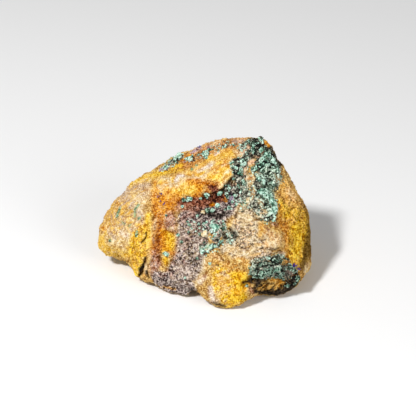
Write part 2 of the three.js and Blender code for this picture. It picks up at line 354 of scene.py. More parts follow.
matrix = fine_copy("matrix", "matrix_rock", SQUARE)
skin_points = points_of(matrix.data)
skin_normals = normals_of(matrix.data)
skin = Skin(skin_points, skin_normals)
crust_nodes = sorted(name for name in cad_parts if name.startswith("malachite"))
behind = smoothstep(*FACING_AWAY, -skin_normals @ to_eye)
for node in crust_nodes:
    clearance = distances(skin_points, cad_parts[node].data, CLEAR_OF_CRUSTS)
    behind *= smoothstep(0, CLEAR_OF_CRUSTS, clearance)

rise = np.zeros(len(skin_points))
for seed, (kind, length, height) in enumerate(RELIEF):
    rise += height * kind(skin_points, length, seed)
for seed, (kind, length, height) in enumerate(RELIEF_BEHIND, start=BEHIND_SEED):
    rise += height * behind * kind(skin_points, length, seed)
print("skin points:", len(skin_points), "relief in mm:", rise.min().round(2), "to", rise.max().round(2))

# %% [markdown]
# ## Cracks, pits and rims
# Each of these is carved with a stroke. A crack is a thin stroke, a pit is a short deep one, and a
# raised rim is a stroke with a negative depth. A second solid could cut them out, but it would leave a
# clean edge, which stone never has.

# %% Carvings on the display side
# depth in mm, soft edge in mm, and the route.
CARVINGS = [
    (1.4, 2.0, [(-42.5, 1.5, 1.5), (-46, -6.5, 1)]),
    (1.6, 1.6, [(-40, -23, 1), (-35.4, -24.4, 1)]),
    (1.4, 1.6, [(-24, 16.4, 0.8), (-18, 20.4, 0.8), (-8, 24.8, 0.8), (-3, 27, 0.8)]),
    (2.4, 0.6, [(-26.8, -21.8, 0.4), (-27.4, -24, 0.5), (-28.4, -26, 0.9), (-29, -28.4, 0.7)]),
    (1.4, 0.5, [(-26.2, -27, 0.4), (-26, -28.6, 0.4), (-25, -29.8, 0.4)]),
    (1.0, 0.4, [(-26.2, -10.4, 0.3), (-26.4, -12.8, 0.4), (-28.6, -14.8, 0.3)]),
    (0.8, 0.4, [(-23.2, -4, 0.3), (-23.8, -5.4, 0.35)]),
    (2.4, 1.2, [(16, -33, 2), (19, -30.5, 1.6), (21.5, -29.2, 0.8)]),
    (0.8, 0.6, [(25.5, -17.2, 0.6), (28, -18.4, 0.7), (31, -18, 0.5)]),
    (0.7, 0.4, [(12.4, -1.6, 0.3), (11.8, -4, 0.3), (11.8, -8.4, 0.3)]),
    (0.6, 0.3, [(3.6, -18.8, 0.25), (8.2, -24, 0.25)]),
    (1.2, 0.5, [(20.4, -4.8, 0.5), (24, -5.2, 0.5), (27.2, -4.4, 0.5), (29.6, -2, 0.4)]),
    (0.6, 0.4, [(16, -18.6, 0.3), (19, -19.6, 0.3)]),
    (1.2, 0.8, [(9, -9.5, 1.2), (12.5, -12.5, 1)]),
    (0.9, 0.6, [(6.5, -9, 0.8), (8.6, -14, 0.9)]),
    (0.8, 0.5, [(-10, 5, 0.4), (-8, 5, 0.4)]),
    (1.0, 0.8, [(-5, -1.4, 0.6), (1, -2.8, 0.8), (6, -3.4, 0.7)]),
    (
        -0.7, 1.2,
        [
            (-25.4, 8, 0.7), (-24, 2, 1), (-25.4, -5, 1),
            (-23.8, -11, 0.8), (-25, -17, 0.9), (-24.4, -21, 0.7),
        ],
    ),
    (-0.5, 1.0, [(-17, -13.5, 3.1)]),
    (-0.4, 0.8, [(-17.7, -23.2, 1.5)]),
    (1.0, 1.5, [(-20.5, -3, 1.5), (-20, -22, 2)]),
    (1.3, 1.0, [(41, -11, 0.8), (41.5, -20, 1)]),
    (0.9, 0.8, [(3.5, -25, 1), (-2.5, -29.5, 1)]),
]
# The seams between the facets of the lump under the ledge, carved here and darkened later with painted
# shade.
SEAMS = [
    [(22.4, -35, 0.3), (26, -31.8, 0.2)],
    [(25.4, -35.8, 0.3), (30.2, -31.6, 0.2)],
    [(29, -35.6, 0.4), (33.4, -32, 0.3)],
    [(23.6, -32.4, 0.2), (21.6, -33.6, 0.3)],
]
CARVINGS += [(1.2, 0.4, seam) for seam in SEAMS]
print("carvings:", len(CARVINGS))

# %% Carvings on the side that faces away
# The same, with stops in [x, z] over the floor.
CARVINGS_BEHIND = [
    (1.5, 0.4, [(-33, 20, 0.2), (-29, 16, 0.4), (-28, 12, 0.2)]),
    (1.5, 0.4, [(30, 12, 0.2), (31, 17, 0.4), (34, 22, 0.2)]),
    (2.0, 2.0, [(-16, 8, 3), (-4, 6, 4), (8, 5, 3)]),
    (1.4, 1.5, [(2, 44, 2), (10, 30, 3)]),
    (1.2, 1.5, [(-28, 24, 2.5), (-20, 30, 2)]),
    (1.6, 1.0, [(-33, 7, 1), (-30, 6, 1.4)]),
    (1.4, 1.5, [(34, 30, 2), (36, 20, 2.5)]),
    (-0.9, 1.5, [(-34, 18, 2), (-24, 16, 2.5)]),
    (-0.9, 1.5, [(28, 8, 2.5), (30, 22, 2)]),
    (-0.8, 1.2, [(0, 20, 2), (4, 34, 2)]),
]
# A carving has a less ragged edge than a stain. What is cut deeper than this many mm gets no grains.
CARVED_RAGGED = 0.5
DEEP = 0.4

cut = np.zeros(len(skin_points))
carvings = [(*carving, False) for carving in CARVINGS] + [(*carving, True) for carving in CARVINGS_BEHIND]
for depth, soft, route, is_behind in carvings:
    stroke = skin.stroke(route, soft, CARVED_RAGGED, is_behind)
    rise -= depth * stroke
    cut = np.maximum(cut, stroke * (depth > DEEP))
print("share of the skin that is cut:", cut.mean().round(3))

# %% [markdown]
# ## The grain of the rock
# Limonite builds up in thin layers, so a broken face is often combed one way. A bump in the material
# could show that, but it would leave the outline smooth. Here the grooves are streaks of noise in the
# skin, and a table says which way they run on each face and how wide they are.

# %% Grooves
# The slope in degrees above level, the width in mm, and where the grain of the rock runs that way.
GROOVES = [
    (30, 1.5, [(-22, 10, 4), (-8, 10, 5), (2, 17, 6), (8, 21, 4)]),
    (45, 1.3, [(-30, -14, 5), (-30, -24, 5)]),
    (80, 1.5, [(-21, 4, 3), (-21, -20, 4)]),
    (12, 1.3, [(10, -8, 5), (18, -14, 8), (26, -16, 6)]),
    (-50, 1.2, [(29, 18, 4), (28, 8, 4)]),
    (65, 1.5, [(34, 4, 4), (38, -8, 6), (38, -20, 6)]),
    (15, 1.2, [(20, -22.6, 1.4), (32, -21.6, 1.4)]),
    (-25, 1.2, [(22, -27, 3), (36, -28, 4)]),
    (42, 1.2, [(22, -34, 4), (34, -33, 4)]),
    (18, 1.5, [(-16, 18, 3), (-4, 22, 4), (8, 27, 3)]),
]
GROOVE_SOFT = 1.5
GROOVE_HEIGHT = 0.4
# How it runs where none of the routes lies.
GROUND_SLOPE = 35
GROUND_WIDTH = 1.6
GROUND_SEED = 9


def grooves(skin):
    """The grain of the rock at each point of a skin: ridges that run the way GROOVES says."""
    height = np.zeros(len(skin.points))
    left = np.ones(len(skin.points))
    for seed, (slope, width, route) in enumerate(GROOVES):
        stroke = skin.stroke(route, GROOVE_SOFT)
        height += stroke * left * streaks(skin.points, slope, width, seed)
        left *= 1 - stroke
    return height + left * streaks(skin.points, GROUND_SLOPE, GROUND_WIDTH, GROUND_SEED)


grooved = grooves(skin)
rise += GROOVE_HEIGHT * grooved
print("grooves from", grooved.min().round(2), "to", grooved.max().round(2))

# %% [markdown]
# ## The broken edge of the shelf
# The shelf across the upper front ends in a broken edge. There the skin drops along a line, and climbs
# back over a few millimetres.

# %% Shelf edge
# The edge as it is seen, and in mm: the drop, how far the skin takes to climb back, and how ragged and
# how soft the edge is.
SHELF_EDGE = [(13.6, 20.5), (12, 18.3), (11.2, 14.2), (6.4, 8), (3.2, 7.2)]
SHELF_DROP = 1.5
SHELF_REACH = 4.0
SHELF_RAGGED = 0.8
SHELF_SOFT = 0.3


def right_of_line(spots, line):
    """The distance from each spot to a line, in mm: more than 0 on its right, less on its left."""
    corners = np.array(line, float)
    nearest = np.full(len(spots), np.inf)
    side = np.ones(len(spots))
    for a, b in zip(corners, corners[1:]):
        leg = b - a
        share = np.clip((spots - a) @ leg / (leg @ leg), 0, 1)
        offset = spots - a - share[:, None] * leg
        gap = np.linalg.norm(offset, axis=1)
        turn = leg[1] * offset[:, 0] - leg[0] * offset[:, 1]
        side = np.where(gap < nearest, np.sign(turn), side)
        nearest = np.minimum(nearest, gap)
    return nearest * side


past_edge = -right_of_line(skin.spots, SHELF_EDGE) + SHELF_RAGGED * skin.ragged
drop = smoothstep(-SHELF_SOFT, SHELF_SOFT, past_edge) * np.exp(-np.clip(past_edge, 0, None) / SHELF_REACH)
rise -= SHELF_DROP * skin.shown * drop
print("the edge drops", (SHELF_DROP * (skin.shown * drop).max()).round(2), "mm")

# %% [markdown]
# ## Move the skin
# The flat break underneath keeps still, so that the lump still lies where it lay. Elsewhere each point
# moves along its normal. Where the lump nearly fills its box, a rise is pressed into the room that is
# left, so that no flat spot is cut off by the side of the box.

# %% Move the skin
# Heights over the floor in mm, and how often the skin is evened to find its hollows.
STILL_BELOW = 0.2
FREE_ABOVE = 2.5
HOLLOW_ROUNDS = 6

rise *= smoothstep(STILL_BELOW, FREE_ABOVE, skin_points[:, 2])
room = room_outward(skin_points, skin_normals)
rise = np.where(rise > 0, room * (1 - np.exp(-rise / room)), rise)
skin_points = skin_points + rise[:, None] * skin_normals
move_points(matrix.data, skin_points)
skin_points = points_of(matrix.data)
skin_normals = normals_of(matrix.data)
skin = Skin(skin_points, skin_normals)
smooth_points = evened(skin_points, edges_of(matrix.data), HOLLOW_ROUNDS)
hollow = np.sum((smooth_points - skin_points) * skin_normals, axis=1)
print("hollows and knobs in mm:", hollow.min().round(2), "to", hollow.max().round(2))

# %% [markdown]
# ## Finishes
# Every stone here is speckled, so a finish is three tones rather than one colour: the deep tone of its
# gaps, the body tone, and the bright tone of the grains that catch the light. The stains blend these
# three side by side, and the material later sorts them into grains.
#
# Most are limonite, from gold and butter where it is fresh to rust and toffee where it is dense. Cream,
# pale and biscuit are clay and feldspar, but along a few crests and rims cream, pale and butter are a
# painted highlight. Plum, lilac and violet hold manganese. Shade is painted shade, the dark of gaps, pits
# and cracks and of rims and sides that the light misses, and olive shade is painted shade on a side that
# turns away. Bed, mint, moss, turquoise, celadon, emerald and verdigris are malachite.

# %% Finishes
# The tones as the eye reads them, red, green and blue from 0 to 255.
FINISHES = {
    "ochre": ((140, 92, 36), (198, 152, 78), (234, 204, 134)),
    "gold": ((176, 114, 0), (236, 186, 22), (250, 220, 82)),
    "butter": ((206, 152, 40), (238, 192, 62), (250, 222, 122)),
    "honey": ((196, 134, 56), (228, 180, 88), (243, 214, 142)),
    "biscuit": ((182, 142, 104), (214, 178, 130), (234, 210, 168)),
    "cream": ((200, 160, 110), (228, 206, 154), (244, 232, 204)),
    "pale": ((182, 144, 124), (228, 210, 190), (250, 242, 230)),
    "orange": ((160, 80, 0), (222, 140, 0), (240, 180, 56)),
    "rust": ((116, 52, 0), (188, 106, 0), (220, 160, 80)),
    "rosewood": ((104, 50, 28), (170, 110, 80), (214, 172, 150)),
    "olive": ((70, 44, 4), (118, 84, 18), (158, 116, 44)),
    "toffee": ((56, 32, 4), (200, 140, 50), (244, 198, 112)),
    "umber": ((6, 3, 0), (140, 88, 20), (246, 190, 100)),
    "mustard": ((136, 86, 4), (246, 192, 50), (255, 226, 104)),
    "tan": ((88, 70, 52), (182, 160, 128), (230, 214, 184)),
    "peach": ((180, 126, 72), (234, 194, 134), (248, 226, 182)),
    "maroon": ((28, 10, 6), (98, 40, 20), (172, 108, 78)),
    "plum": ((18, 12, 12), (106, 84, 80), (222, 206, 196)),
    "lilac": ((128, 104, 92), (192, 168, 150), (230, 214, 200)),
    "band": ((136, 86, 44), (202, 136, 68), (226, 176, 110)),
    "violet": ((74, 54, 86), (146, 124, 160), (204, 190, 212)),
    "amber": ((184, 120, 44), (248, 194, 90), (255, 222, 140)),
    "shade": ((4, 3, 2), (24, 19, 14), (88, 72, 54)),
    "bed": ((12, 16, 10), (116, 114, 98), (212, 212, 192)),
    "mint": ((28, 56, 38), (126, 174, 148), (208, 236, 218)),
    "moss": ((10, 22, 15), (70, 102, 78), (168, 200, 176)),
    "turquoise": ((84, 138, 114), (158, 210, 186), (214, 242, 228)),
    "celadon": ((72, 80, 60), (178, 192, 166), (230, 238, 218)),
    "emerald": ((12, 34, 24), (98, 150, 122), (182, 224, 202)),
    "shell": ((190, 144, 112), (228, 190, 152), (240, 212, 180)),
    "verdigris": ((56, 92, 68), (112, 146, 108), (166, 188, 142)),
}
TONES = ("deep", "body", "bright")
print("finishes:", len(FINISHES))


# %% Stains on a skin
# How soon a patch sets in, and how much longer than wide it is.
PATCH_EDGE = 0.22
PATCH_STRETCH = 2.0


def linear(colour):
    """A colour as the eye reads it, 0 to 255, as the light it sends back, 0 to 1."""
    share = np.array(colour, float) / 255
    return np.where(share <= 0.04045, share / 12.92, ((share + 0.055) / 1.055) ** 2.4)


def stained(skin, ground, stains, behind=()):
    """The three tones of a skin: a ground finish under strokes of others, one over the other."""
    tones = [np.tile(linear(tone), (len(skin.points), 1)) for tone in FINISHES[ground]]
    jobs = [(job, False) for job in stains] + [(job, True) for job in behind]
    for seed, ((finish, share, soft, route, *patches), is_behind) in enumerate(jobs):
        cover = share * skin.stroke(route, soft, 1.0, is_behind)[:, None]
        if patches:
            width, slope = patches
            streak = streaks(skin.points, slope, width, seed, PATCH_STRETCH)
            cover *= smoothstep(0.0, PATCH_EDGE, streak)[:, None]
        for i, tone in enumerate(FINISHES[finish]):
            tones[i] = tones[i] * (1 - cover) + linear(tone) * cover
    return tones


# %% Keep the tones on the mesh
def write_number(mesh, name, values):
    """Keeps one number for each point of a mesh."""
    attribute = mesh.attributes.new(name, "FLOAT", "POINT")
    attribute.data.foreach_set("value", np.asarray(values, np.float32))


def write_tones(mesh, tones, lift=None):
    """Keeps the tones on the mesh's points, with lift, which makes the grains brighter or darker."""
    for name, colours in zip(TONES, tones):
        attribute = mesh.attributes.new(name, "FLOAT_COLOR", "POINT")
        opaque = np.column_stack([colours, np.ones(len(colours))])
        attribute.data.foreach_set("color", opaque.ravel())
    write_number(mesh, "lift", np.zeros(len(tones[0])) if lift is None else lift)


# %% [markdown]
# ## The stains of the rock
# The strokes go down in the order in which a painter would lay them: broad fields first, then the
# patches on them, then the specks. Iron gives the yellows, oranges and maroons, manganese the plum
# grey, and weathered feldspar the pale creams. An image could hold the stains, but it needs an unwrapped
# skin. The points of the skin are half a millimetre apart, close enough to keep the tones themselves.
#
# A stain gives its finish, how strong it is, its soft edge in mm and its route. Two more numbers break
# it up into patches: how wide they are in mm, and the slope in degrees that they lie along.

# %% Stains: the left lobe
# A rounded knob of biscuit and honey limonite, with pale and lilac streaks along its layers. Butter and
# pale along its lower rim are painted light, so that it looks lit down to the edge.
STAINS = [
    ("biscuit", 0.9, 1.5, [(-36, 3, 3), (-31, 5, 5), (-27, 8, 3.4)]),
    ("honey", 0.8, 1.5, [(-42, -3, 2.5), (-38, 0, 2.5)]),
    ("honey", 0.5, 1.5, [(-44, -8, 2), (-38, -8, 4), (-34, -12, 3)]),
    ("biscuit", 0.6, 1.5, [(-40, -8, 3), (-33, -5, 3.4), (-29, -3, 2.5)]),
    ("honey", 0.9, 1.5, [(-38, 2, 3), (-31, 5, 5), (-40, -8, 5), (-34, -10, 6)], 2.4, 20),
    ("lilac", 0.7, 1.5, [(-37, 2, 3), (-31, 5, 5), (-40, -8, 5), (-34, -8, 6)], 1.3, 20),
    ("butter", 0.7, 1.5, [(-38, 0, 3), (-41, -10, 5), (-35, -12, 5), (-30, 3, 4)], 1.5, 30),
    ("cream", 0.6, 1.5, [(-40, -12, 6), (-34, -14, 4), (-29, 3, 4)], 1.2, 20),
    ("cream", 0.6, 1.2, [(-30, 4, 1.5), (-27, 4, 1.8), (-29, -1, 1.4)]),
    ("cream", 0.6, 1.2, [(-41, -15, 2), (-36, -12, 2.6), (-35, -17, 2)]),
    ("pale", 0.6, 0.6, [(-29, -1.5, 0.6), (-27.8, -3.4, 0.5)]),
    ("pale", 0.6, 0.8, [(-37.5, -10.5, 0.9), (-33.6, -12, 0.8)]),
    ("lilac", 0.6, 0.8, [(-42, -10.5, 0.8), (-40, -12.6, 0.9)]),
    ("lilac", 0.6, 0.8, [(-36.5, 5.5, 0.9), (-34.5, 8.4, 0.8)]),
    ("lilac", 0.5, 0.8, [(-29.5, 9.4, 0.6), (-26, 9.6, 0.6)]),
    ("lilac", 0.5, 0.8, [(-31.5, 1, 1), (-27.4, -6.8, 0.9)]),
    ("butter", 1.0, 0.8, [(-33.5, 10.2, 0.9), (-27, 12.6, 1.3), (-20, 15, 1.6)]),
    ("pale", 0.6, 0.8, [(-31, 10.8, 0.8), (-25, 12, 1.4), (-20, 13, 1)], 1.4, 20),
    ("gold", 0.9, 1.2, [(-25.5, -3, 0.9), (-26.4, -8, 1.5), (-28, -12, 3)]),
    ("gold", 1.0, 1.5, [(-29, -14, 4), (-30.5, -18, 4), (-30, -23, 2.6), (-31.5, -28, 2.2)]),
    ("butter", 0.7, 1.2, [(-27, -8, 2), (-29, -14, 4), (-30, -26, 3)], 1.4, 45),
    ("orange", 0.4, 1.0, [(-27, -8, 2), (-29, -14, 4), (-30, -24, 3)], 1.1, 45),
    ("cream", 0.3, 1.2, [(-29, -14, 4), (-30, -26, 3)], 0.9, 45),
    ("umber", 0.5, 0.6, [(-27, -8, 2), (-29, -14, 3), (-30, -22, 3)], 0.6, 45),
    # Painted light: butter and pale along the lower rim, so that the knob looks lit right down to its edge.
    ("butter", 0.9, 1.2, [(-46, -13, 1), (-45, -17.6, 2.4), (-40, -18.6, 2), (-35.6, -20, 1.2)]),
    ("pale", 0.7, 1.2, [(-44.6, -17.6, 1.4), (-39.6, -19, 1.4), (-35, -20.4, 0.8)], 1.6, 20),
    ("butter", 0.6, 0.9, [(-46, -16.5, 1), (-43.5, -19, 0.8)]),
    ("orange", 0.7, 0.6, [(-44.6, -8.6, 1)]),
    ("orange", 0.6, 0.6, [(-38.6, 2, 0.8)]),
]
print("strokes so far:", len(STAINS))

# %% Stains: the trough beside it
# A steep hollow beside the knob: orange and gold, with rosewood and maroon in its depth.
STAINS += [
    ("orange", 0.9, 1.2, [(-21.6, 9, 1.2), (-21.8, 4, 2.4), (-21, -1, 2.6), (-20.4, -5.6, 2)]),
    ("orange", 0.9, 1.2, [(-20.4, -5.6, 2), (-20.2, -10, 2.2), (-22, -15, 2.6), (-22, -18, 2.4)]),
    ("cream", 0.7, 0.6, [(-22.3, -5, 0.5), (-22.8, -8.4, 0.6)]),
    ("pale", 0.6, 0.5, [(-23.4, -13, 0.4), (-23, -15, 0.4)]),
    ("butter", 0.8, 1.0, [(-20, 7, 4), (-17, 3, 4)], 1.8, 60),
    ("rust", 0.8, 0.8, [(-22, 4, 2), (-21, -6, 2.6), (-21.4, -16, 2)], 1.2, 80),
    ("rust", 0.8, 0.9, [(-20.4, -4, 1), (-20.4, -9, 1.6), (-21.4, -15, 1.2)]),
    ("orange", 0.9, 0.9, [(-19, 3, 2.6), (-15.4, 1.4, 2.6), (-17, -1.6, 2)]),
    ("cream", 0.35, 1.0, [(-21, 6, 3), (-18, 0, 4), (-21, -8, 2.6), (-21.4, -16, 2)], 0.5, 60),
    ("rust", 0.5, 1.0, [(-20, 2, 3), (-21, -8, 2.4), (-21.6, -16, 2)], 0.7, 80),
    ("rosewood", 0.9, 1.2, [(-16.4, -4, 2.2), (-16.4, -8, 2.4)]),
    ("lilac", 0.7, 1.0, [(-16.4, -4, 2.2), (-16, -8, 2.4)], 0.8, 60),
    ("maroon", 0.5, 1.0, [(-14.6, 0, 0.8), (-14.4, -6, 0.8)]),
    ("rosewood", 0.8, 0.8, [(-13.8, -10, 0.9), (-13.4, -15, 0.8), (-14, -22, 1)]),
    ("gold", 0.9, 1.6, [(-18.4, -10.6, 1.2), (-16.2, -13, 2.6), (-16.6, -16.8, 2.4), (-18.6, -18.6, 1)]),
    ("butter", 0.8, 0.8, [(-17.6, -14, 2), (-15.6, -15.4, 1.8)], 1.4, 30),
    ("orange", 0.6, 1.2, [(-19.4, -11, 1.2), (-19, -15, 1.2), (-17, -19.4, 1.4)]),
    ("rosewood", 0.9, 1.2, [(-22.6, -19, 1.8), (-22, -23, 2.2), (-23, -27, 2)]),
    ("rust", 0.7, 1.0, [(-22.6, -19, 2), (-22, -23, 2.2)], 1.0, 70),
    ("lilac", 0.7, 1.0, [(-22.6, -20, 1.6), (-23, -27, 2.4)], 0.9, 50),
    ("maroon", 0.6, 1.0, [(-20.6, -18.6, 0.9), (-21.4, -23, 1.2)]),
    ("rust", 0.9, 0.7, [(-13.6, -19.4, 0.9), (-16.4, -19, 0.9)]),
    ("gold", 0.8, 0.8, [(-18.6, -21.8, 1), (-17, -24, 1.2)]),
    ("cream", 0.8, 0.4, [(-15.9, -8.6, 0.8)]),
]
print("strokes so far:", len(STAINS))

# %% Stains: the band behind the shelf
# A strip of brown and orange stone under the crest, with a few violet grey patches.
STAINS += [
    ("band", 1.0, 1.2, [(-15, 17.6, 2), (-7, 20.4, 3), (0, 24.4, 3.2), (8, 27, 2.2), (15, 28.6, 1.8)]),
    ("rust", 0.25, 0.9, [(-13, 18.6, 0.9), (-9, 17.4, 1), (-3, 19.4, 1)]),
    ("orange", 0.45, 1.0, [(-17, 16.6, 2), (-7, 19.6, 3), (0, 23.4, 3), (10, 26.6, 2)], 3.2, 22),
    ("rust", 0.25, 1.0, [(-15, 17.4, 2), (-7, 20, 3), (0, 23.4, 3), (10, 27, 2)], 2.2, 22),
    ("lilac", 0.3, 1.0, [(-8, 22, 2), (0, 26, 2), (12, 28, 2)], 0.9, 22),
    ("gold", 0.9, 0.6, [(-15, 17.2, 0.7), (-11.6, 18.2, 0.8)]),
    ("gold", 0.7, 0.8, [(-24, 13.4, 0.6), (-18, 15.2, 0.8), (-11, 16.2, 0.8)]),
    ("orange", 0.7, 0.8, [(-12, 20.6, 0.7), (-6.6, 22.8, 0.8)]),
    ("maroon", 0.6, 0.6, [(-15.4, 19, 0.8), (-12, 21, 0.7)]),
    ("maroon", 0.7, 0.6, [(6.6, 26.4, 0.7), (10.4, 26.9, 0.7)]),
    ("maroon", 0.5, 0.6, [(-4, 21, 0.6), (-1.8, 23.2, 0.5)]),
    ("violet", 0.9, 0.5, [(-20.4, 16.2, 0.5), (-17.6, 17.6, 0.6)]),
    ("violet", 0.8, 0.5, [(-6.8, 23.8, 0.6), (-3.2, 25.7, 0.6)]),
    ("violet", 0.7, 0.4, [(-10, 19.6, 0.4)]),
    ("violet", 0.7, 0.4, [(-0.2, 25.8, 0.4), (1.2, 26.4, 0.4)]),
    ("peach", 0.8, 0.8, [(1, 27, 0.7), (5, 27.8, 0.8)]),
    ("lilac", 0.7, 0.7, [(11, 28.4, 0.7), (14.6, 28.6, 0.8)]),
]
print("strokes so far:", len(STAINS))

# %% Stains: the shelf
# The widest clean face of the lump, honey and butter yellow, with cream and peach on top, and a painted
# highlight of cream and pale along its crest.
STAINS += [
    ("honey", 1.0, 1.0, [(-20, 9.6, 3.4), (-11, 10, 4.6), (-2, 15.4, 4.2), (7.6, 20.6, 4.6), (8, 15, 3)]),
    ("honey", 1.0, 0.8, [(8, 15, 3), (5.6, 10, 2)]),
    ("butter", 0.9, 1.2, [(-19, 9, 4), (-8, 9, 5), (-1, 15, 4), (7, 20, 5), (6, 14, 3)], 3.6, 30),
    ("cream", 0.8, 1.2, [(-19, 10, 3), (-8, 11, 4), (-1, 16, 4), (7, 19, 5), (6, 14, 3)], 2.6, 30),
    ("orange", 0.3, 1.2, [(-19, 9, 4), (-8, 8, 4), (-1, 14, 4), (8, 20, 5), (6, 14, 3)], 2.2, 30),
    ("butter", 0.8, 1.0, [(-14, 7.4, 1.6), (-8, 7.4, 2.2), (-4.4, 8.6, 1.2)]),
    ("butter", 0.8, 0.9, [(0.6, 13.6, 1), (5.4, 12.4, 1), (5.4, 16.4, 1)]),
    ("butter", 0.8, 0.9, [(1, 21.4, 0.8), (6.4, 22.6, 1.4), (10, 23.4, 1)]),
    ("orange", 0.6, 0.8, [(-22.6, 11, 0.8), (-21.4, 7.6, 0.9)]),
    ("orange", 0.7, 0.8, [(7.4, 19.6, 0.9), (8.8, 17.4, 0.6)]),
    ("orange", 0.6, 0.7, [(-17.6, 6.6, 0.8), (-13, 5.6, 0.9)]),
    ("peach", 0.8, 0.7, [(5, 8.9, 0.9), (7.4, 11, 0.8)]),
    ("peach", 0.9, 0.8, [(12, 24.4, 1.2), (14.6, 22.6, 1.2)]),
    # A painted highlight of cream and pale along the crest of the shelf.
    ("cream", 0.9, 0.6, [(-19.6, 12.8, 0.7), (-16.6, 12.2, 0.9), (-16, 9.8, 0.8)]),
    ("pale", 1.0, 0.5, [(-13.6, 11.6, 0.8), (-12.6, 13.4, 0.8), (-10.4, 13.8, 0.5)]),
    ("cream", 0.9, 0.6, [(-9, 12.4, 0.5), (-5.4, 13, 0.7)]),
    ("cream", 0.9, 0.6, [(-4, 15.6, 0.8), (0, 17.4, 0.8), (2.6, 19, 0.7)]),
    ("pale", 0.9, 0.5, [(-3, 16, 0.4), (1.4, 18.4, 0.6)]),
    ("pale", 0.9, 0.5, [(3.2, 22.8, 0.7), (4.6, 23.8, 0.5)]),
    ("cream", 0.8, 0.6, [(-1, 14, 0.5), (-3, 13.4, 0.4)]),
    ("cream", 0.7, 0.5, [(-21.4, 9.4, 0.6), (-19.6, 7.4, 0.5)]),
    ("orange", 0.8, 0.7, [(-8.4, 12, 0.7), (-4.4, 11.6, 0.9), (-2.4, 10.4, 1)]),
]
print("strokes so far:", len(STAINS))

# %% Stains: the recess and the plum field
# Manganese darkens the sheltered face under the shelf to plum, and iron its foot to maroon. Painted shade
# darkens its lowest rim, the groove below the maroon and the strip in the shadow of the shelf's edge.
STAINS += [
    ("plum", 1.0, 1.2, [(-7, -5, 6), (2, -4, 6), (8, 0, 4), (12, 6, 3.2)]),
    ("plum", 1.0, 1.2, [(-6.6, -12, 6.6), (-7, -20, 5.8), (-12, -27, 5.6), (-11, -31, 3.6)]),
    ("plum", 1.0, 0.8, [(-21, -29.6, 3), (-16, -32, 4.4), (-9, -34, 4)]),
    ("plum", 0.9, 0.9, [(-3.6, -20, 1.8), (-4, -25, 2.2), (-6.4, -29, 2)]),
    ("maroon", 0.6, 1.2, [(-8, -4, 5), (-8, -14, 5), (-9, -22, 5), (-18, -29, 3)], 2.2, 10),
    ("lilac", 0.6, 1.2, [(-8, -6, 6), (-7, -20, 6), (-11, -27, 5), (-9, -32, 3)], 1.6, 10),
    ("cream", 0.35, 1.2, [(-8, -12, 6), (-8, -22, 6), (-11, -28, 5)], 0.8, 10),
    ("lilac", 0.4, 1.2, [(-3, -13, 2.4), (-4, -16, 2)]),
    ("lilac", 0.4, 1.2, [(-11, -12, 2), (-11.4, -16, 1.8)]),
    ("lilac", 0.5, 1.2, [(-12, -25.6, 2.2), (-8, -28, 2.2)]),
    ("lilac", 0.5, 1.2, [(-20, -29, 2.6), (-15, -31, 2.6), (-9, -33, 2)], 1.2, 10),
    # Painted shade along the lowest rim of the field.
    ("shade", 0.3, 1.2, [(-20, -30.4, 1.6), (-15, -33, 1.6), (-8, -34.4, 1)]),
    ("cream", 0.7, 1.0, [(-1.4, -22, 0.9), (-1.6, -27, 1), (-4.6, -32, 1.6)]),
    ("pale", 0.5, 0.9, [(-5, -30.6, 1.2), (-8.6, -33.6, 1.6)], 1.2, 30),
    ("orange", 0.9, 0.8, [(-7, 10.8, 0.9), (-3.6, 9.6, 1.4), (-3.6, 6, 1.2), (-5.6, 4.8, 1)]),
    ("rust", 1.0, 0.8, [(-5.4, 11.6, 0.7), (-1.6, 10.8, 1.3), (2.8, 9.4, 1.4), (0, 7.6, 1.6)]),
    ("maroon", 1.0, 0.7, [(0.8, 9, 1.2), (2.8, 8, 1.8), (3.6, 5, 2.6)]),
    ("rust", 1.0, 0.9, [(-14, 3.4, 1.6), (-8, 3, 1.6), (-3, 4.6, 1.6)]),
    ("maroon", 1.0, 0.7, [(-12, 1.8, 1.4), (-5, 2.4, 2), (2, 3.6, 2.8), (6, 5, 2)]),
    ("rosewood", 0.5, 0.8, [(-10, 2.6, 2), (-2, 4, 2.6), (2, 7, 2)], 0.8, 35),
    ("rosewood", 0.7, 0.9, [(-12.4, 0, 1.4), (-7.4, -0.4, 1.4)]),
    # Painted shade in the groove carved below the maroon.
    ("shade", 0.8, 0.9, [(-4, -1.4, 1), (1, -2.6, 1.4), (5, -3.4, 1.2), (9, -2, 1)]),
    ("maroon", 0.8, 0.9, [(-6, -1, 1), (-1.4, 0.6, 1)]),
    ("shade", 0.3, 1.2, [(-2, -5.4, 1.4), (-8, -18, 1.6), (-6, -22.6, 1.8)]),
    # Painted shadow cast by the broken edge of the shelf.
    ("shade", 0.9, 0.6, [(10.4, 13, 0.7), (8.4, 10.4, 1), (6.4, 8, 1)]),
    ("shade", 0.7, 0.8, [(11.4, 9, 1), (10.4, 5.6, 1), (9, 2.6, 1)]),
    ("violet", 0.6, 0.8, [(11, 6, 1.2), (10, 2.8, 0.8)]),
    ("orange", 0.9, 0.4, [(7.4, 3.6, 0.6), (7.9, 2.8, 0.4)]),
    ("orange", 0.9, 0.4, [(1.4, 1.2, 0.8), (2.6, 1.4, 0.5)]),
    ("pale", 0.8, 0.4, [(-1.2, -11.4, 0.8)]),
]
print("strokes so far:", len(STAINS))

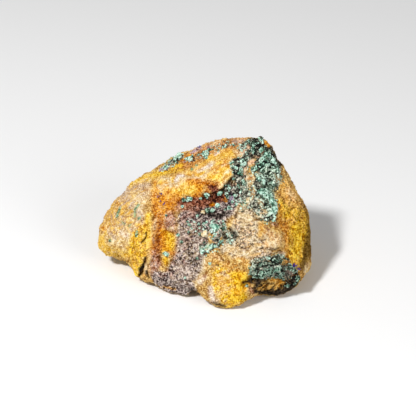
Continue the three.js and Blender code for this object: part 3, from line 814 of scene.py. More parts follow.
# %% Stains: the belly
# The bulge in the middle is tan and lilac grey, with cream, honey and rosewood spots.
STAINS += [
    ("tan", 1.0, 1.4, [(16, -3.5, 4), (17, -10, 7), (15, -17, 6), (8.4, -18, 3.6)]),
    ("tan", 1.0, 1.4, [(17, -10, 7), (24, -15, 5), (22, -19, 3)]),
    ("lilac", 0.7, 1.2, [(15, -4, 4), (15, -12, 6), (13, -18, 5), (24, -18, 4)], 1.5, 12),
    ("honey", 0.6, 1.2, [(22, -8, 4), (26, -13, 5), (20, -18, 4), (10, -20, 3)], 2.4, 12),
    ("cream", 0.5, 1.2, [(15, -4, 4), (15, -12, 6), (13, -18, 5), (26, -15, 5)], 1.5, 12),
    ("umber", 0.6, 0.8, [(15, -4, 3), (15, -12, 5), (13, -18, 4), (24, -18, 3)], 0.6, 20),
    ("cream", 0.7, 0.9, [(14, -3, 1.4), (17.6, -4.4, 1.4), (15.6, -7, 1)]),
    ("cream", 0.6, 0.9, [(9, -16.6, 1.4), (14, -19.6, 1.4), (19, -18.6, 1.2)]),
    ("honey", 0.9, 1.0, [(22, -6.6, 1.2), (23.4, -9.4, 2), (21.6, -11.6, 0.9)]),
    ("peach", 0.9, 1.1, [(25.6, -11.4, 1.8), (29, -13.6, 2.4), (25.4, -15.4, 1.8)]),
    ("cream", 0.7, 0.9, [(26, -13.4, 1), (28.4, -16, 1)]),
    ("rosewood", 0.8, 0.6, [(27.4, -6.6, 0.8), (29.2, -7.4, 0.7)]),
    ("rosewood", 0.7, 0.6, [(24.4, -8, 0.4), (25.6, -9.2, 0.5)]),
    ("honey", 0.8, 0.9, [(12.4, -21.8, 1.4), (17, -23.4, 1.6)]),
    ("lilac", 0.8, 0.7, [(30.6, -19.6, 0.8), (32.8, -19.4, 0.6)]),
]
print("strokes so far:", len(STAINS))

# %% Stains: the right side
# Amber and mustard yellow, with painted shade of dark olive on the rim where the lump turns away from the
# light.
STAINS += [
    ("amber", 1.0, 1.2, [(29.4, 14.4, 1.2), (32.6, 9, 2.2), (35.4, 4, 3.6), (36.4, 1, 2.4)]),
    ("mustard", 1.0, 1.2, [(31, 3, 1.2), (33, -2, 2.2), (38, -4, 4.6), (39, -12, 5.4), (38, -20, 4.6)]),
    ("gold", 0.9, 1.2, [(35, -2, 3), (38, -9, 4), (38, -20, 4)], 3.0, 65),
    ("amber", 0.5, 1.2, [(34, 6, 4), (37, -6, 5), (38, -20, 4)], 2.0, 65),
    ("rust", 0.4, 1.0, [(33, 8, 3), (37, -2, 5), (37, -12, 5), (37, -22, 4)], 1.3, 65),
    ("umber", 0.45, 1.0, [(34, 8, 3), (37, -2, 5), (38, -12, 4), (38, -22, 3)], 0.6, 65),
    ("orange", 0.7, 0.9, [(30.6, 0.4, 0.9), (30.6, -5, 1.1), (32, -9, 1)]),
    ("peach", 0.7, 0.9, [(36, 4.6, 1.4), (34.4, 7.4, 1.2)]),
    ("rust", 0.6, 0.9, [(33.6, -5, 0.9), (33.6, -11, 1), (33.8, -18, 1.1)]),
    ("umber", 0.7, 0.6, [(36, -6.9, 0.8), (37.4, -5.6, 0.7)]),
    ("gold", 0.9, 1.0, [(38, -9, 2), (38.4, -15, 2), (37.4, -20, 1.6)]),
    ("umber", 0.6, 0.6, [(39.4, 2.4, 0.8), (41.6, -1.4, 0.7)]),
    # Painted shade on the rim that turns away from the light.
    (
        "olive", 0.9, 0.7,
        [(42.6, -2, 0.6), (43.4, -9, 1), (43.4, -14, 2), (42.6, -19, 2), (40.6, -23, 1), (40, -27, 1)],
    ),
    ("shade", 0.3, 0.6, [(43.6, -10, 0.6), (43, -16, 1), (41, -22, 0.7), (39.6, -27, 0.7)]),
    ("cream", 0.6, 0.7, [(42.4, -24.4, 0.9), (41.6, -27.4, 0.8)]),
    ("rust", 0.9, 0.7, [(33.8, -20.6, 0.8), (34, -24.4, 0.7)]),
]
print("strokes so far:", len(STAINS))

# %% Stains: the foot
# The lowest face is ochre and gold, with peach, pale and lilac patches.
STAINS += [
    ("ochre", 1.0, 1.2, [(2, -20.6, 2), (7, -22, 2.6), (12, -25, 2.4)]),
    ("peach", 0.7, 0.9, [(2.4, -20, 1.2), (5, -21.4, 1)]),
    ("gold", 1.0, 1.2, [(4, -27, 3), (7, -33, 5), (13, -31, 4.4), (9, -38.6, 4), (14, -37, 2.6)]),
    ("honey", 0.7, 1.2, [(4, -25, 5), (6, -32, 5), (9, -38, 4)], 1.6, 30),
    ("orange", 0.5, 1.2, [(10, -28, 5), (12, -35, 5), (12, -39, 3)], 0.9, 30),
    ("cream", 0.6, 1.2, [(3, -24, 4), (5, -32, 5), (7, -39, 3)], 1.2, 30),
    ("umber", 0.25, 1.0, [(4, -24, 3), (8, -31, 5), (10, -38, 3)], 0.5, 30),
    ("ochre", 0.8, 1.0, [(0.6, -26, 1.8), (0, -31, 2.2), (-2.6, -33.4, 1.6)]),
    ("honey", 0.7, 1.0, [(5.4, -31, 2), (7, -34.6, 1.6)]),
    ("lilac", 0.6, 0.8, [(6.4, -28, 0.9), (7.6, -28.8, 0.7)]),
    ("pale", 0.9, 0.8, [(1, -34.4, 1.1), (2, -38.4, 1.1)]),
    ("pale", 0.6, 0.9, [(-3.4, -31.4, 1.2), (-1.4, -29.6, 1)]),
    ("lilac", 0.6, 0.8, [(1.4, -40, 0.8), (4.4, -39.6, 0.8)]),
    ("gold", 0.9, 1.0, [(10, -38.6, 2), (14, -38, 2)]),
    ("orange", 0.5, 0.9, [(12.6, -36, 1.4), (15.6, -34.6, 0.9)]),
    ("rosewood", 0.8, 0.8, [(18, -34.4, 0.9), (19.4, -36, 0.8)]),
]
print("strokes so far:", len(STAINS))

# %% Stains: the lump under the green ledge
# A dark knob under the ledge, split by black seams into facets with amber faces. The seams, the dark hatch
# between the facets, the underside, the right side and the hollow to its left are painted shade.
STAINS += [
    ("toffee", 1.0, 0.9, [(22, -33.6, 2.6), (28, -33, 3.6), (33, -32, 2.4)]),
    ("umber", 1.0, 0.9, [(35, -31, 2), (37, -28.5, 2)]),
    ("orange", 0.8, 0.7, [(24.6, -32.6, 1), (27.6, -30.6, 1.2), (30.4, -32, 1.4)]),
    ("ochre", 0.7, 0.6, [(26, -31.6, 0.6), (29.4, -31.4, 0.7)]),
    ("shade", 1.0, 0.4, [(21, -34, 2), (27, -34, 2.4), (34, -33, 2.6)], 1.0, 40),
    ("amber", 0.9, 0.5, [(24, -33, 1.8), (28, -32, 2.2), (31.6, -33.4, 1.6)], 0.8, 40),
    *[("shade", 1.0, 0.3, seam) for seam in SEAMS],
    (
        # Painted shade under the lump and along its right side.
        "shade", 1.0, 0.5,
        [(20.6, -35.6, 0.9), (27, -36.4, 1.1), (33, -35.4, 1.6), (36.4, -33.2, 1.3), (38.4, -30.6, 0.8)],
    ),
    ("shade", 1.0, 0.6, [(32.6, -33.6, 1.2), (34.6, -32.8, 1.3), (36.8, -31.6, 0.8)]),
    # Painted shade in the carved hollow to the left of the lump.
    ("shade", 1.0, 0.6, [(15.4, -31.6, 0.6), (18.6, -31, 1.4), (21.6, -32.2, 1.2), (20, -33.8, 0.9)]),
    ("maroon", 0.6, 0.5, [(16.4, -32.6, 1), (19, -33.4, 1)], 0.8, 40),
    ("orange", 0.9, 0.3, [(17.4, -32.2, 0.5)]),
    ("orange", 0.9, 0.3, [(19.6, -31.4, 0.35)]),
    ("umber", 0.7, 0.8, [(38.6, -26.6, 1), (40.4, -28.6, 0.9)]),
]
print("strokes so far:", len(STAINS))

# %% Stains: pits, cracks and dark rims
# Painted shade: many of these follow a carving, so that what is cut deep is dark as well, and the last
# ones darken the lower rims, where shade falls under the lump.
STAINS += [
    ("umber", 0.8, 0.8, [(-27.2, -22.4, 0.9), (-27, -27.6, 1.8)]),
    ("cream", 0.7, 0.5, [(-26.6, -24, 0.5), (-26.4, -27.6, 0.7)]),
    ("shade", 1.0, 0.3, [(-26.8, -21.6, 0.6), (-27.4, -24, 0.7), (-28.4, -26, 1), (-29, -28.6, 0.8)]),
    ("shade", 0.9, 0.3, [(-26.2, -27, 0.5), (-26, -28.6, 0.5), (-25, -29.8, 0.4)]),
    ("shade", 0.9, 0.3, [(-26.4, -10.4, 0.2), (-26.6, -13, 0.4), (-28.6, -14.8, 0.25)]),
    ("umber", 0.9, 0.3, [(-23.2, -4, 0.25), (-23.8, -5.4, 0.3)]),
    ("umber", 0.8, 0.3, [(-33.6, -21.6, 0.5), (-34.4, -22.6, 0.4)]),
    ("umber", 0.6, 0.3, [(-32.6, -16.6, 0.3), (-31.2, -17.6, 0.3)]),
    ("umber", 0.6, 0.3, [(-31.2, -20.2, 0.35)]),
    ("shade", 0.8, 0.3, [(-9, 4.9, 0.35), (-8, 4.8, 0.25)]),
    ("umber", 0.8, 0.3, [(12.4, -1.6, 0.2), (11.8, -4, 0.25), (11.8, -8, 0.2)]),
    ("umber", 0.7, 0.3, [(3.8, -19, 0.2), (8, -24, 0.2)]),
    ("shade", 0.8, 0.3, [(3.4, -24.2, 0.35), (4.4, -24.6, 0.3)]),
    ("umber", 0.7, 0.3, [(18, -6.6, 0.3), (19.4, -6.9, 0.2)]),
    ("umber", 0.7, 0.4, [(21.6, -12.8, 0.5), (23, -13.4, 0.3)]),
    ("umber", 0.7, 0.4, [(12, -14, 0.4), (13, -18.4, 0.3)]),
    ("shade", 0.8, 0.4, [(26.6, -17.8, 0.3), (28.6, -17.6, 0.4), (30.4, -17, 0.3)]),
    ("shade", 0.8, 0.4, [(26.4, -20, 0.3), (28.6, -19.2, 0.5), (31, -18.6, 0.3)]),
    ("shade", 0.9, 0.4, [(20.4, -4.6, 0.3), (24, -4.9, 0.4), (27, -4, 0.4), (29, -2.2, 0.3)]),
    ("umber", 0.9, 0.4, [(-19, -33.6, 0.5), (-14, -34.6, 0.5)]),
    ("shade", 0.8, 0.4, [(-11.2, -34.4, 0.4), (-6, -35, 0.4)]),
    ("shade", 0.8, 0.5, [(2.6, -40.6, 0.6), (7, -41.8, 0.6)]),
]
print("strokes so far:", len(STAINS))

# %% Stains: the bed of the malachite
# The crusts stand on a dark, green grey bed, and pale rock shows in their windows. The shade strokes are
# painted shade in the gaps between the crusts, along the slope's right rim and under the green ledge.
STAINS += [
    (
        "bed", 1.0, 0.8,
        [(18, 26.6, 3.2), (24, 24, 4), (26, 17, 5.2), (26.6, 13, 5), (22.4, 8.6, 4.2), (23.8, 1, 5.6)],
    ),
    (
        "bed", 1.0, 1.0,
        [(15, 26, 1.8), (17, 21, 2), (13, 18.4, 3.2), (14, 12.6, 3), (14.6, 6.6, 3), (17, 2.4, 3)],
    ),
    ("moss", 0.7, 1.0, [(19, 27, 2.4), (24, 24, 3), (26, 18, 4), (26.4, 12, 4), (25, 6, 3)]),
    ("shade", 0.8, 0.6, [(17.2, 29.2, 0.5), (20, 29.6, 0.6)]),
    ("shade", 0.9, 0.5, [(20.6, 27, 0.7), (23, 27.2, 0.9), (21.8, 25.6, 0.5)]),
    (
        "shade", 0.9, 0.5,
        [(25.4, 25.4, 0.7), (27, 26.2, 0.8), (27.8, 23.4, 0.8), (29.6, 20.6, 0.8), (31, 18.4, 0.7)],
    ),
    ("shade", 0.9, 0.5, [(17.6, 23, 0.7), (19.4, 21.6, 0.9)]),
    ("shade", 0.9, 0.4, [(11.2, 20.6, 0.5), (14, 20.6, 0.5)]),
    ("shade", 0.8, 0.6, [(11.4, 15.6, 0.6), (13, 13.4, 0.8), (12, 10, 0.7)]),
    ("shade", 0.8, 0.5, [(21, 18, 0.7), (24.4, 19.4, 0.7), (28, 18.4, 0.7)]),
    ("shade", 0.8, 0.5, [(20.4, 15.8, 0.6), (24, 15, 0.7), (26.4, 12, 0.9)]),
    ("shade", 0.6, 0.5, [(20.6, 9.6, 0.5), (23.4, 8.8, 0.7)]),
    ("orange", 0.9, 0.5, [(24.8, 28, 0.8), (26, 27, 1)]),
    ("shell", 1.0, 0.3, [(21.2, 24.2, 0.7), (23.4, 23.6, 0.7)]),
    ("shell", 1.0, 0.3, [(20.8, 22.6, 0.9), (22.2, 21.8, 0.8)]),
    ("shell", 1.0, 0.3, [(17.2, 19, 0.9), (19.2, 19.8, 1.2)]),
    ("shell", 1.0, 0.3, [(16, 17.4, 0.7), (15, 14.6, 0.9)]),
    ("shell", 1.0, 0.3, [(17.2, 27, 0.5), (17.4, 25.8, 0.8)]),
    ("shell", 0.9, 0.4, [(15.6, 24.6, 0.6), (14.4, 23.4, 0.8)]),
    ("cream", 0.9, 0.5, [(16.4, 12.4, 0.7), (18, 14, 0.6), (19.6, 12.4, 0.6), (18.4, 10.6, 0.8)]),
    ("rust", 0.9, 0.3, [(17, 12.5, 0.3), (18.6, 12.9, 0.3)]),
    ("shell", 0.9, 0.4, [(12.4, 10.4, 0.6), (14, 10.8, 0.8)]),
    ("plum", 0.8, 0.7, [(9.6, 9.4, 1), (11.6, 6.4, 1.4), (13, 3, 1.4)]),
    ("cream", 0.9, 0.6, [(20, 8.6, 0.6), (18.6, 5, 0.9), (16, 1.4, 1)]),
    ("cream", 0.7, 0.7, [(22, 3, 0.8), (24.4, -1.4, 1), (22, -3, 0.8)]),
    ("cream", 0.7, 0.6, [(28.6, 14.4, 0.7), (30.4, 11.6, 0.9)]),
    ("bed", 0.9, 0.8, [(6.4, -8, 1.4), (8, -12, 2.2), (11, -11, 1.8), (10.6, -14.6, 1)]),
    ("shade", 0.8, 0.5, [(5.6, -10.8, 0.6), (7.4, -12.8, 0.8)]),
    ("shade", 0.8, 0.5, [(9.2, -8.4, 0.5), (11.6, -11.6, 0.6)]),
    ("shade", 0.7, 0.4, [(8, -15, 0.4), (10.2, -13.4, 0.4)]),
    ("bed", 0.9, 0.7, [(19.4, -23, 1.4), (25, -21.6, 1.2), (31.6, -21, 1.2)]),
    ("bed", 1.0, 0.8, [(21, -27, 2.4), (28, -26.4, 3.4), (34.6, -28, 2.4)]),
    ("lilac", 0.8, 0.6, [(34.8, -27, 0.9), (37, -27.8, 0.9)]),
    # Painted shade under the lower rim of the green ledge.
    ("shade", 0.9, 0.6, [(18, -29.6, 0.5), (21.6, -30.6, 1.1), (24.6, -30.6, 0.8)]),
    ("shade", 0.9, 0.5, [(31.6, -30.6, 0.5), (34.6, -31.6, 0.8), (37.4, -31, 0.5)]),
    ("moss", 0.8, 0.7, [(-16.6, 19, 0.9), (-12, 22, 0.8)]),
    ("turquoise", 0.9, 0.5, [(1.6, -7.6, 1), (3.6, -8.4, 1.3)]),
    ("lilac", 0.8, 0.6, [(4.6, -10.4, 1.1), (3.4, -13.4, 1.3)]),
    ("turquoise", 0.7, 0.6, [(0.6, -16.4, 0.9), (-2.6, -17, 1)]),
]
print("strokes so far:", len(STAINS))

# %% Stains: malachite stains
# Thin films of malachite colour the bare rock green in a few spots.
STAINS += [
    ("verdigris", 0.9, 0.3, [(-37.5, -0.2, 0.5), (-38.4, -2, 0.5), (-38.9, -4.2, 0.35)]),
    ("verdigris", 0.9, 0.3, [(-29.4, 1.4, 0.45), (-31.2, -0.6, 0.35), (-31.3, -3.6, 0.45)]),
    ("verdigris", 0.9, 0.3, [(-29.5, -4.6, 0.5)]),
    ("verdigris", 0.8, 0.3, [(-36.8, -5.8, 0.35), (-35.6, -7, 0.3)]),
    ("verdigris", 0.8, 0.3, [(-33.8, -7.8, 0.35), (-33, -7, 0.3)]),
    ("verdigris", 0.9, 0.3, [(-30.4, -10.2, 0.5), (-30.8, -12.2, 0.4)]),
    ("verdigris", 0.9, 0.3, [(-41.8, -13.8, 0.6)]),
    ("turquoise", 0.9, 0.3, [(-18.6, -19.4, 0.8), (-17.2, -19.8, 0.7)]),
    ("verdigris", 0.8, 0.3, [(-6.9, 16.2, 0.5)]),
    ("verdigris", 0.8, 0.3, [(-4.7, 18.2, 0.4)]),
]
print("strokes so far:", len(STAINS))

# %% Stains on the side that faces away
# The same, with stops in [x, z] over the floor.
STAINS_BEHIND = [
    ("gold", 0.8, 3.0, [(-34, 10, 7), (-22, 22, 7), (-8, 34, 4)]),
    ("mustard", 0.7, 3.0, [(42, 6, 7), (42, 20, 7), (34, 34, 4)]),
    ("honey", 0.9, 3.0, [(-34, 12, 8), (-10, 24, 12), (20, 26, 14), (38, 14, 8)], 3.0, 25),
    ("gold", 0.8, 3.0, [(-34, 10, 8), (-6, 22, 14), (20, 20, 14), (38, 14, 8)], 2.2, 40),
    ("cream", 0.7, 3.0, [(-34, 12, 8), (-6, 26, 12), (22, 26, 14), (38, 14, 8)], 1.7, 25),
    ("orange", 0.6, 3.0, [(-30, 12, 8), (0, 30, 12), (34, 22, 8)], 1.5, 40),
    ("lilac", 0.6, 3.0, [(-28, 20, 6), (-6, 38, 6), (24, 20, 10)], 1.3, 15),
    ("rust", 0.8, 3.0, [(-2, 40, 4), (6, 30, 6), (14, 20, 7)]),
    ("plum", 0.9, 3.0, [(-8, 12, 7), (4, 8, 6)]),
    ("maroon", 0.7, 2.0, [(-10, 14, 7), (4, 9, 7)], 1.4, 10),
    ("lilac", 0.6, 2.0, [(-8, 12, 7), (4, 8, 6)], 1.0, 10),
    ("biscuit", 0.8, 3.0, [(-12, 34, 5), (-22, 28, 4)]),
    ("tan", 0.8, 3.0, [(26, 30, 5), (32, 18, 6)]),
    ("orange", 0.8, 2.0, [(20, 44, 3), (26, 36, 3)]),
    ("umber", 0.7, 2.0, [(-4, 24, 2), (2, 16, 2.5)]),
    ("cream", 0.8, 2.0, [(16, 6, 4), (24, 8, 3)], 1.6, 20),
    ("pale", 0.8, 1.0, [(-17, 25, 1.4), (-13, 27, 1)]),
    ("pale", 0.8, 1.0, [(27, 22, 1), (29, 26, 1.3)]),
    ("shade", 0.8, 0.4, [(-33, 20, 0.3), (-29, 16, 0.5), (-28, 12, 0.3)]),
    ("shade", 0.8, 0.4, [(30, 12, 0.3), (31, 17, 0.5), (34, 22, 0.3)]),
    ("shade", 0.7, 0.6, [(-33, 7, 0.8), (-30, 6, 1)]),
    ("verdigris", 0.8, 0.6, [(20, 33, 0.9), (22, 30, 0.7)]),
    ("verdigris", 0.8, 0.6, [(-4, 20, 0.8), (-6, 17, 0.6)]),
]
print("strokes on the far side:", len(STAINS_BEHIND))

# %% Paint the rock
# Painted shade and light: hollows are painted darker than knobs, up to these limits, and so are the
# grooves of the grain than its ridges.
HOLLOW_SHADE = 0.4
HOLLOW_LIMITS = (-0.25, 0.18)
GROOVE_SHADE_LIFT = 0.1

skin_tones = stained(skin, "ochre", STAINS, STAINS_BEHIND)
skin_painted_shade = np.clip(-HOLLOW_SHADE * hollow, *HOLLOW_LIMITS) + GROOVE_SHADE_LIFT * grooved
write_tones(matrix.data, skin_tones, skin_painted_shade)
print("lift from", skin_painted_shade.min().round(2), "to", skin_painted_shade.max().round(2))

# %% [markdown]
# ## The stone material
# One tree colours every stone. It reads the three tones from the mesh, and sorts them with three
# patterns: a fine speckle, the flat colour of single grains, and a broad mottle. A picture of stone
# would repeat, and these don't. They drive the bump and the roughness too, so a dark gap is also a low
# and dull one.


# %% Node helpers
def put(tree, kind, inputs=(), **settings):
    """Adds a node. inputs gives its sockets, by name or number, a value or another node's socket."""
    node = tree.nodes.new(kind)
    for name, value in settings.items():
        setattr(node, name, value)
    for socket, value in dict(inputs).items():
        if isinstance(value, bpy.types.NodeSocket):
            tree.links.new(value, node.inputs[socket])
        else:
            node.inputs[socket].default_value = value
    return node


def blended(tree, share, low, high):
    """A colour between two others. A mix node keeps its colours in sockets 6 and 7."""
    return put(tree, "ShaderNodeMix", {0: share, 6: low, 7: high}, data_type="RGBA").outputs[2]


def stepped(tree, value, low, high):
    """0 below low and 1 above high."""
    node = put(tree, "ShaderNodeMapRange", {0: value, 1: low, 2: high}, interpolation_type="SMOOTHSTEP")
    return node.outputs[0]


def maths(tree, operation, a, b):
    """A sum, product or power of two numbers."""
    return put(tree, "ShaderNodeMath", {0: a, 1: b}, operation=operation).outputs[0]


def added(tree, *terms):
    """The sum of (socket, share) pairs."""
    total = None
    for socket, share in terms:
        part = maths(tree, "MULTIPLY", socket, share)
        total = part if total is None else maths(tree, "ADD", total, part)
    return total


# %% Stone material
# The shares of the speckle, the single grains and the mottle in the tone, and where one tone gives way
# to the next.
SPECKLE_SHARE = 0.42
GRAIN_SHARE = 0.44
MOTTLE_SHARE = 0.14
DEEP_TO_BODY = (0.36, 0.46)
BODY_TO_BRIGHT = (0.55, 0.65)


def stone(name, speckle_mm, grain_mm, mottle_mm, bump_mm, dull, bright_dull, gloss):
    """A speckled stone. dull and bright_dull are the roughness of its gaps and of its bright grains."""
    material = bpy.data.materials.new(name)
    material.use_nodes = True
    tree = material.node_tree
    tree.nodes.clear()
    place = put(tree, "ShaderNodeTexCoord").outputs["Object"]
    speckle = put(
        tree, "ShaderNodeTexNoise",
        {"Vector": place, "Scale": 1 / (speckle_mm * MM), "Detail": 3.0, "Roughness": 0.65},
    ).outputs[0]
    mottle = put(
        tree, "ShaderNodeTexNoise", {"Vector": place, "Scale": 1 / (mottle_mm * MM), "Detail": 3.0},
    ).outputs[0]
    grains = put(tree, "ShaderNodeTexVoronoi", {"Vector": place, "Scale": 1 / (grain_mm * MM)})
    grain_tone = put(tree, "ShaderNodeSeparateColor", {0: grains.outputs["Color"]}).outputs[0]
    lift = put(tree, "ShaderNodeAttribute", attribute_name="lift").outputs["Fac"]
    tone = added(
        tree, (speckle, SPECKLE_SHARE), (grain_tone, GRAIN_SHARE), (mottle, MOTTLE_SHARE), (lift, 1.0),
    )
    tones = [put(tree, "ShaderNodeAttribute", attribute_name=t).outputs["Color"] for t in TONES]
    colour = blended(tree, stepped(tree, tone, *DEEP_TO_BODY), tones[0], tones[1])
    colour = blended(tree, stepped(tree, tone, *BODY_TO_BRIGHT), colour, tones[2])
    roughness = put(
        tree, "ShaderNodeMapRange", {0: tone, 1: 0.35, 2: 0.65, 3: dull, 4: bright_dull},
    ).outputs[0]
    height = added(tree, (speckle, 1.0), (grains.outputs["Distance"], -0.5))
    bump = put(
        tree, "ShaderNodeBump", {"Height": height, "Distance": bump_mm * MM, "Strength": 1.0},
    ).outputs[0]
    shader = put(
        tree, "ShaderNodeBsdfPrincipled",
        {"Base Color": colour, "Roughness": roughness, "Normal": bump, "Specular IOR Level": gloss},
    )
    put(tree, "ShaderNodeOutputMaterial", {0: shader.outputs[0]})
    return material


rock = stone(
    "limonite_stone", speckle_mm=0.5, grain_mm=0.45, mottle_mm=4.5, bump_mm=0.4,
    dull=0.95, bright_dull=0.7, gloss=0.1,
)
malachite = stone(
    "malachite_stone", speckle_mm=0.6, grain_mm=0.5, mottle_mm=2.6, bump_mm=0.4,
    dull=0.85, bright_dull=0.5, gloss=0.2,
)
matrix.data.materials.append(rock)
matrix.data.shade_smooth()
print("materials:", rock.name, malachite.name)

# %% [markdown]
# ## Seats
# What grew on the rock has to sit on it, whatever the relief did. A seat is found by looking: a line
# from the eye through the place where the thing is seen, and the first point of the skin on it.

# %% Seats
skin_tree = search_tree(skin_points, matrix.data)


def seat(across, up):
    """The point of the rock that is seen there, in mm, and the way the skin faces."""
    target = VIEW_MIDDLE + across * view_across + up * view_up
    point, normal, _, _ = skin_tree.ray_cast(Vector(eye), Vector(target - eye))
    return np.array(point), np.array(normal)


print("the middle of the view meets the rock at", seat(0, 0)[0].round(1).tolist())

# %% [markdown]
# ## A scatter of small bodies
# Crumbs of malachite and grains of rock are all small bodies strewn over a surface, which is work for
# Geometry Nodes. The tree below is built with named inputs. It makes three uneven bodies, strews points
# over the faces, gives each point one of the bodies, turned and sized at random, and at the end makes
# the copies real. The points take their tones from the surface that they lie on.


# %% Start and end of a tree
def new_tree(name, sizes):
    """A tree with named inputs: a mesh, these numbers, a seed and a material. It gives the inputs too."""
    tree = bpy.data.node_groups.new(name, "GeometryNodeTree")
    tree.interface.new_socket("Geometry", in_out="INPUT", socket_type="NodeSocketGeometry")
    for size in sizes:
        tree.interface.new_socket(size, in_out="INPUT", socket_type="NodeSocketFloat")
    tree.interface.new_socket("Seed", in_out="INPUT", socket_type="NodeSocketInt")
    tree.interface.new_socket("Material", in_out="INPUT", socket_type="NodeSocketMaterial")
    tree.interface.new_socket("Geometry", in_out="OUTPUT", socket_type="NodeSocketGeometry")
    return tree, put(tree, "NodeGroupInput").outputs


def end_tree(tree, copies, material, smooth):
    """Makes the copies real, shades them and gives them their material."""
    real = put(tree, "GeometryNodeRealizeInstances", {0: copies}).outputs[0]
    shaded = put(tree, "GeometryNodeSetShadeSmooth", {"Geometry": real, "Shade Smooth": smooth}).outputs[0]
    finished = put(tree, "GeometryNodeSetMaterial", {"Geometry": shaded, "Material": material}).outputs[0]
    put(tree, "NodeGroupOutput", {0: finished})


# %% Helpers inside a tree
def at_random(tree, kind, low, high, seed):
    """A random FLOAT, INT or FLOAT_VECTOR for each thing. Each kind has sockets of its own."""
    first, out = {"FLOAT_VECTOR": (0, 0), "FLOAT": (2, 1), "INT": (4, 2)}[kind]
    inputs = {first: low, first + 1: high, "Seed": seed}
    return put(tree, "FunctionNodeRandomValue", inputs, data_type=kind).outputs[out]


def scaled(tree, vector, by):
    """A vector made longer or shorter."""
    return put(tree, "ShaderNodeVectorMath", {0: vector, "Scale": by}, operation="SCALE").outputs[0]


def named(tree, name):
    """A number that the mesh keeps under this name."""
    return put(tree, "GeometryNodeInputNamedAttribute", {"Name": name}, data_type="FLOAT").outputs[0]


def lifted(tree, geometry, lift, domain):
    """Keeps a new lift on each POINT or INSTANCE."""
    return put(
        tree, "GeometryNodeStoreNamedAttribute",
        {"Geometry": geometry, "Name": "lift", "Value": lift}, data_type="FLOAT", domain=domain,
    ).outputs[0]


# %% Uneven bodies
# The number of bodies, how far apart their noise is read, and its scale.
BODIES = 3
BODY_STEP = 3.7
BODY_NOISE = 1.6


def roughened(tree, shape, number, scale, roughness):
    """Moves a body's points by noise. Another number gives another body."""
    place = put(tree, "GeometryNodeInputPosition").outputs[0]
    unevenness = put(
        tree, "ShaderNodeTexNoise",
        {"Vector": place, "W": BODY_STEP * number, "Scale": scale, "Detail": 1.0}, noise_dimensions="4D",
    ).outputs["Color"]
    centred = put(tree, "ShaderNodeVectorMath", {0: unevenness, 1: (0.5, 0.5, 0.5)}, operation="SUBTRACT")
    push = scaled(tree, centred.outputs[0], roughness)
    return put(tree, "GeometryNodeSetPosition", {"Geometry": shape, "Offset": push}).outputs[0]


def uneven_body(tree, kind, number, roughness):
    """A small closed body, about 1 across: a round one of 24 squares or a block of 6."""
    shape = put(tree, "GeometryNodeMeshCube", {"Size": (1, 1, 1)}).outputs[0]
    if kind == "round":
        shape = put(tree, "GeometryNodeSubdivisionSurface", {0: shape, 1: 1}).outputs[0]
    shape = roughened(tree, shape, number, BODY_NOISE, roughness)
    return put(tree, "GeometryNodeGeometryToInstance", {0: shape}).outputs[0]


# %% Scatter tree
FULL_TURN = (2 * math.pi,) * 3


def scatter_tree(name, kind, roughness, tone_luck):
    """Small bodies strewn over a surface, each up to tone_luck brighter or darker than what it lies on."""
    tree, given = new_tree(name, ("Spacing", "Density", "Smallest", "Largest", "Sunk", "Lift"))
    size_seed, side_seed, turn_seed, tone_seed, body_seed = [
        maths(tree, "ADD", given["Seed"], step) for step in range(1, 6)
    ]
    strewn = put(
        tree, "GeometryNodeDistributePointsOnFaces",
        {
            "Mesh": given["Geometry"], "Distance Min": given["Spacing"], "Density Max": given["Density"],
            "Density Factor": named(tree, "cover"), "Seed": given["Seed"],
        },
        distribute_method="POISSON",
    )

    mostly_small = maths(tree, "POWER", at_random(tree, "FLOAT", 0.0, 1.0, size_seed), 2.0)
    size = put(
        tree, "ShaderNodeMapRange", {0: mostly_small, 3: given["Smallest"], 4: given["Largest"]},
    ).outputs[0]
    sides = at_random(tree, "FLOAT_VECTOR", (0.7, 0.7, 0.7), (1.25, 1.25, 1.25), side_seed)
    inward = maths(tree, "MULTIPLY", maths(tree, "MULTIPLY", size, given["Sunk"]), -1.0)
    offset = scaled(tree, strewn.outputs["Normal"], inward)
    seated = put(
        tree, "GeometryNodeSetPosition", {"Geometry": strewn.outputs["Points"], "Offset": offset},
    ).outputs[0]
    luck = at_random(tree, "FLOAT", -tone_luck, tone_luck, tone_seed)
    new_lift = added(tree, (named(tree, "lift"), 1.0), (given["Lift"], 1.0), (luck, 1.0))

    bodies = put(tree, "GeometryNodeJoinGeometry")
    for number in range(BODIES):
        tree.links.new(uneven_body(tree, kind, number, roughness), bodies.inputs[0])
    copies = put(
        tree, "GeometryNodeInstanceOnPoints",
        {
            "Points": lifted(tree, seated, new_lift, "POINT"), "Instance": bodies.outputs[0],
            "Pick Instance": True, "Instance Index": at_random(tree, "INT", 0, BODIES - 1, body_seed),
            "Rotation": at_random(tree, "FLOAT_VECTOR", (0, 0, 0), FULL_TURN, turn_seed),
            "Scale": scaled(tree, sides, size),
        },
    ).outputs[0]
    end_tree(tree, copies, given["Material"], kind == "round")
    return tree


crumb_tree = scatter_tree("crumbs", "round", roughness=0.9, tone_luck=0.32)
grain_tree = scatter_tree("grains", "block", roughness=0.8, tone_luck=0.17)
print("scatter inputs:", [item.name for item in crumb_tree.interface.items_tree])


# %% Run a tree
def made_by(holder, tree, values):
    """Runs a tree on the holder with these values of its inputs, and keeps only the mesh it makes."""
    name = holder.name
    work = holder.modifiers.new("work", "NODES")
    work.node_group = tree
    for item in tree.interface.items_tree:
        if item.in_out == "INPUT" and item.name in values:
            work[item.identifier] = values[item.name]
    result = holder.evaluated_get(bpy.context.evaluated_depsgraph_get())
    mesh = bpy.data.meshes.new_from_object(result)
    bpy.data.objects.remove(holder)
    mesh.name = name
    move_points(mesh, points_of(mesh))
    mesh.calc_loop_triangles()
    print(f"{name}: {len(mesh.loop_triangles)} triangles")
    return placed(name, mesh)


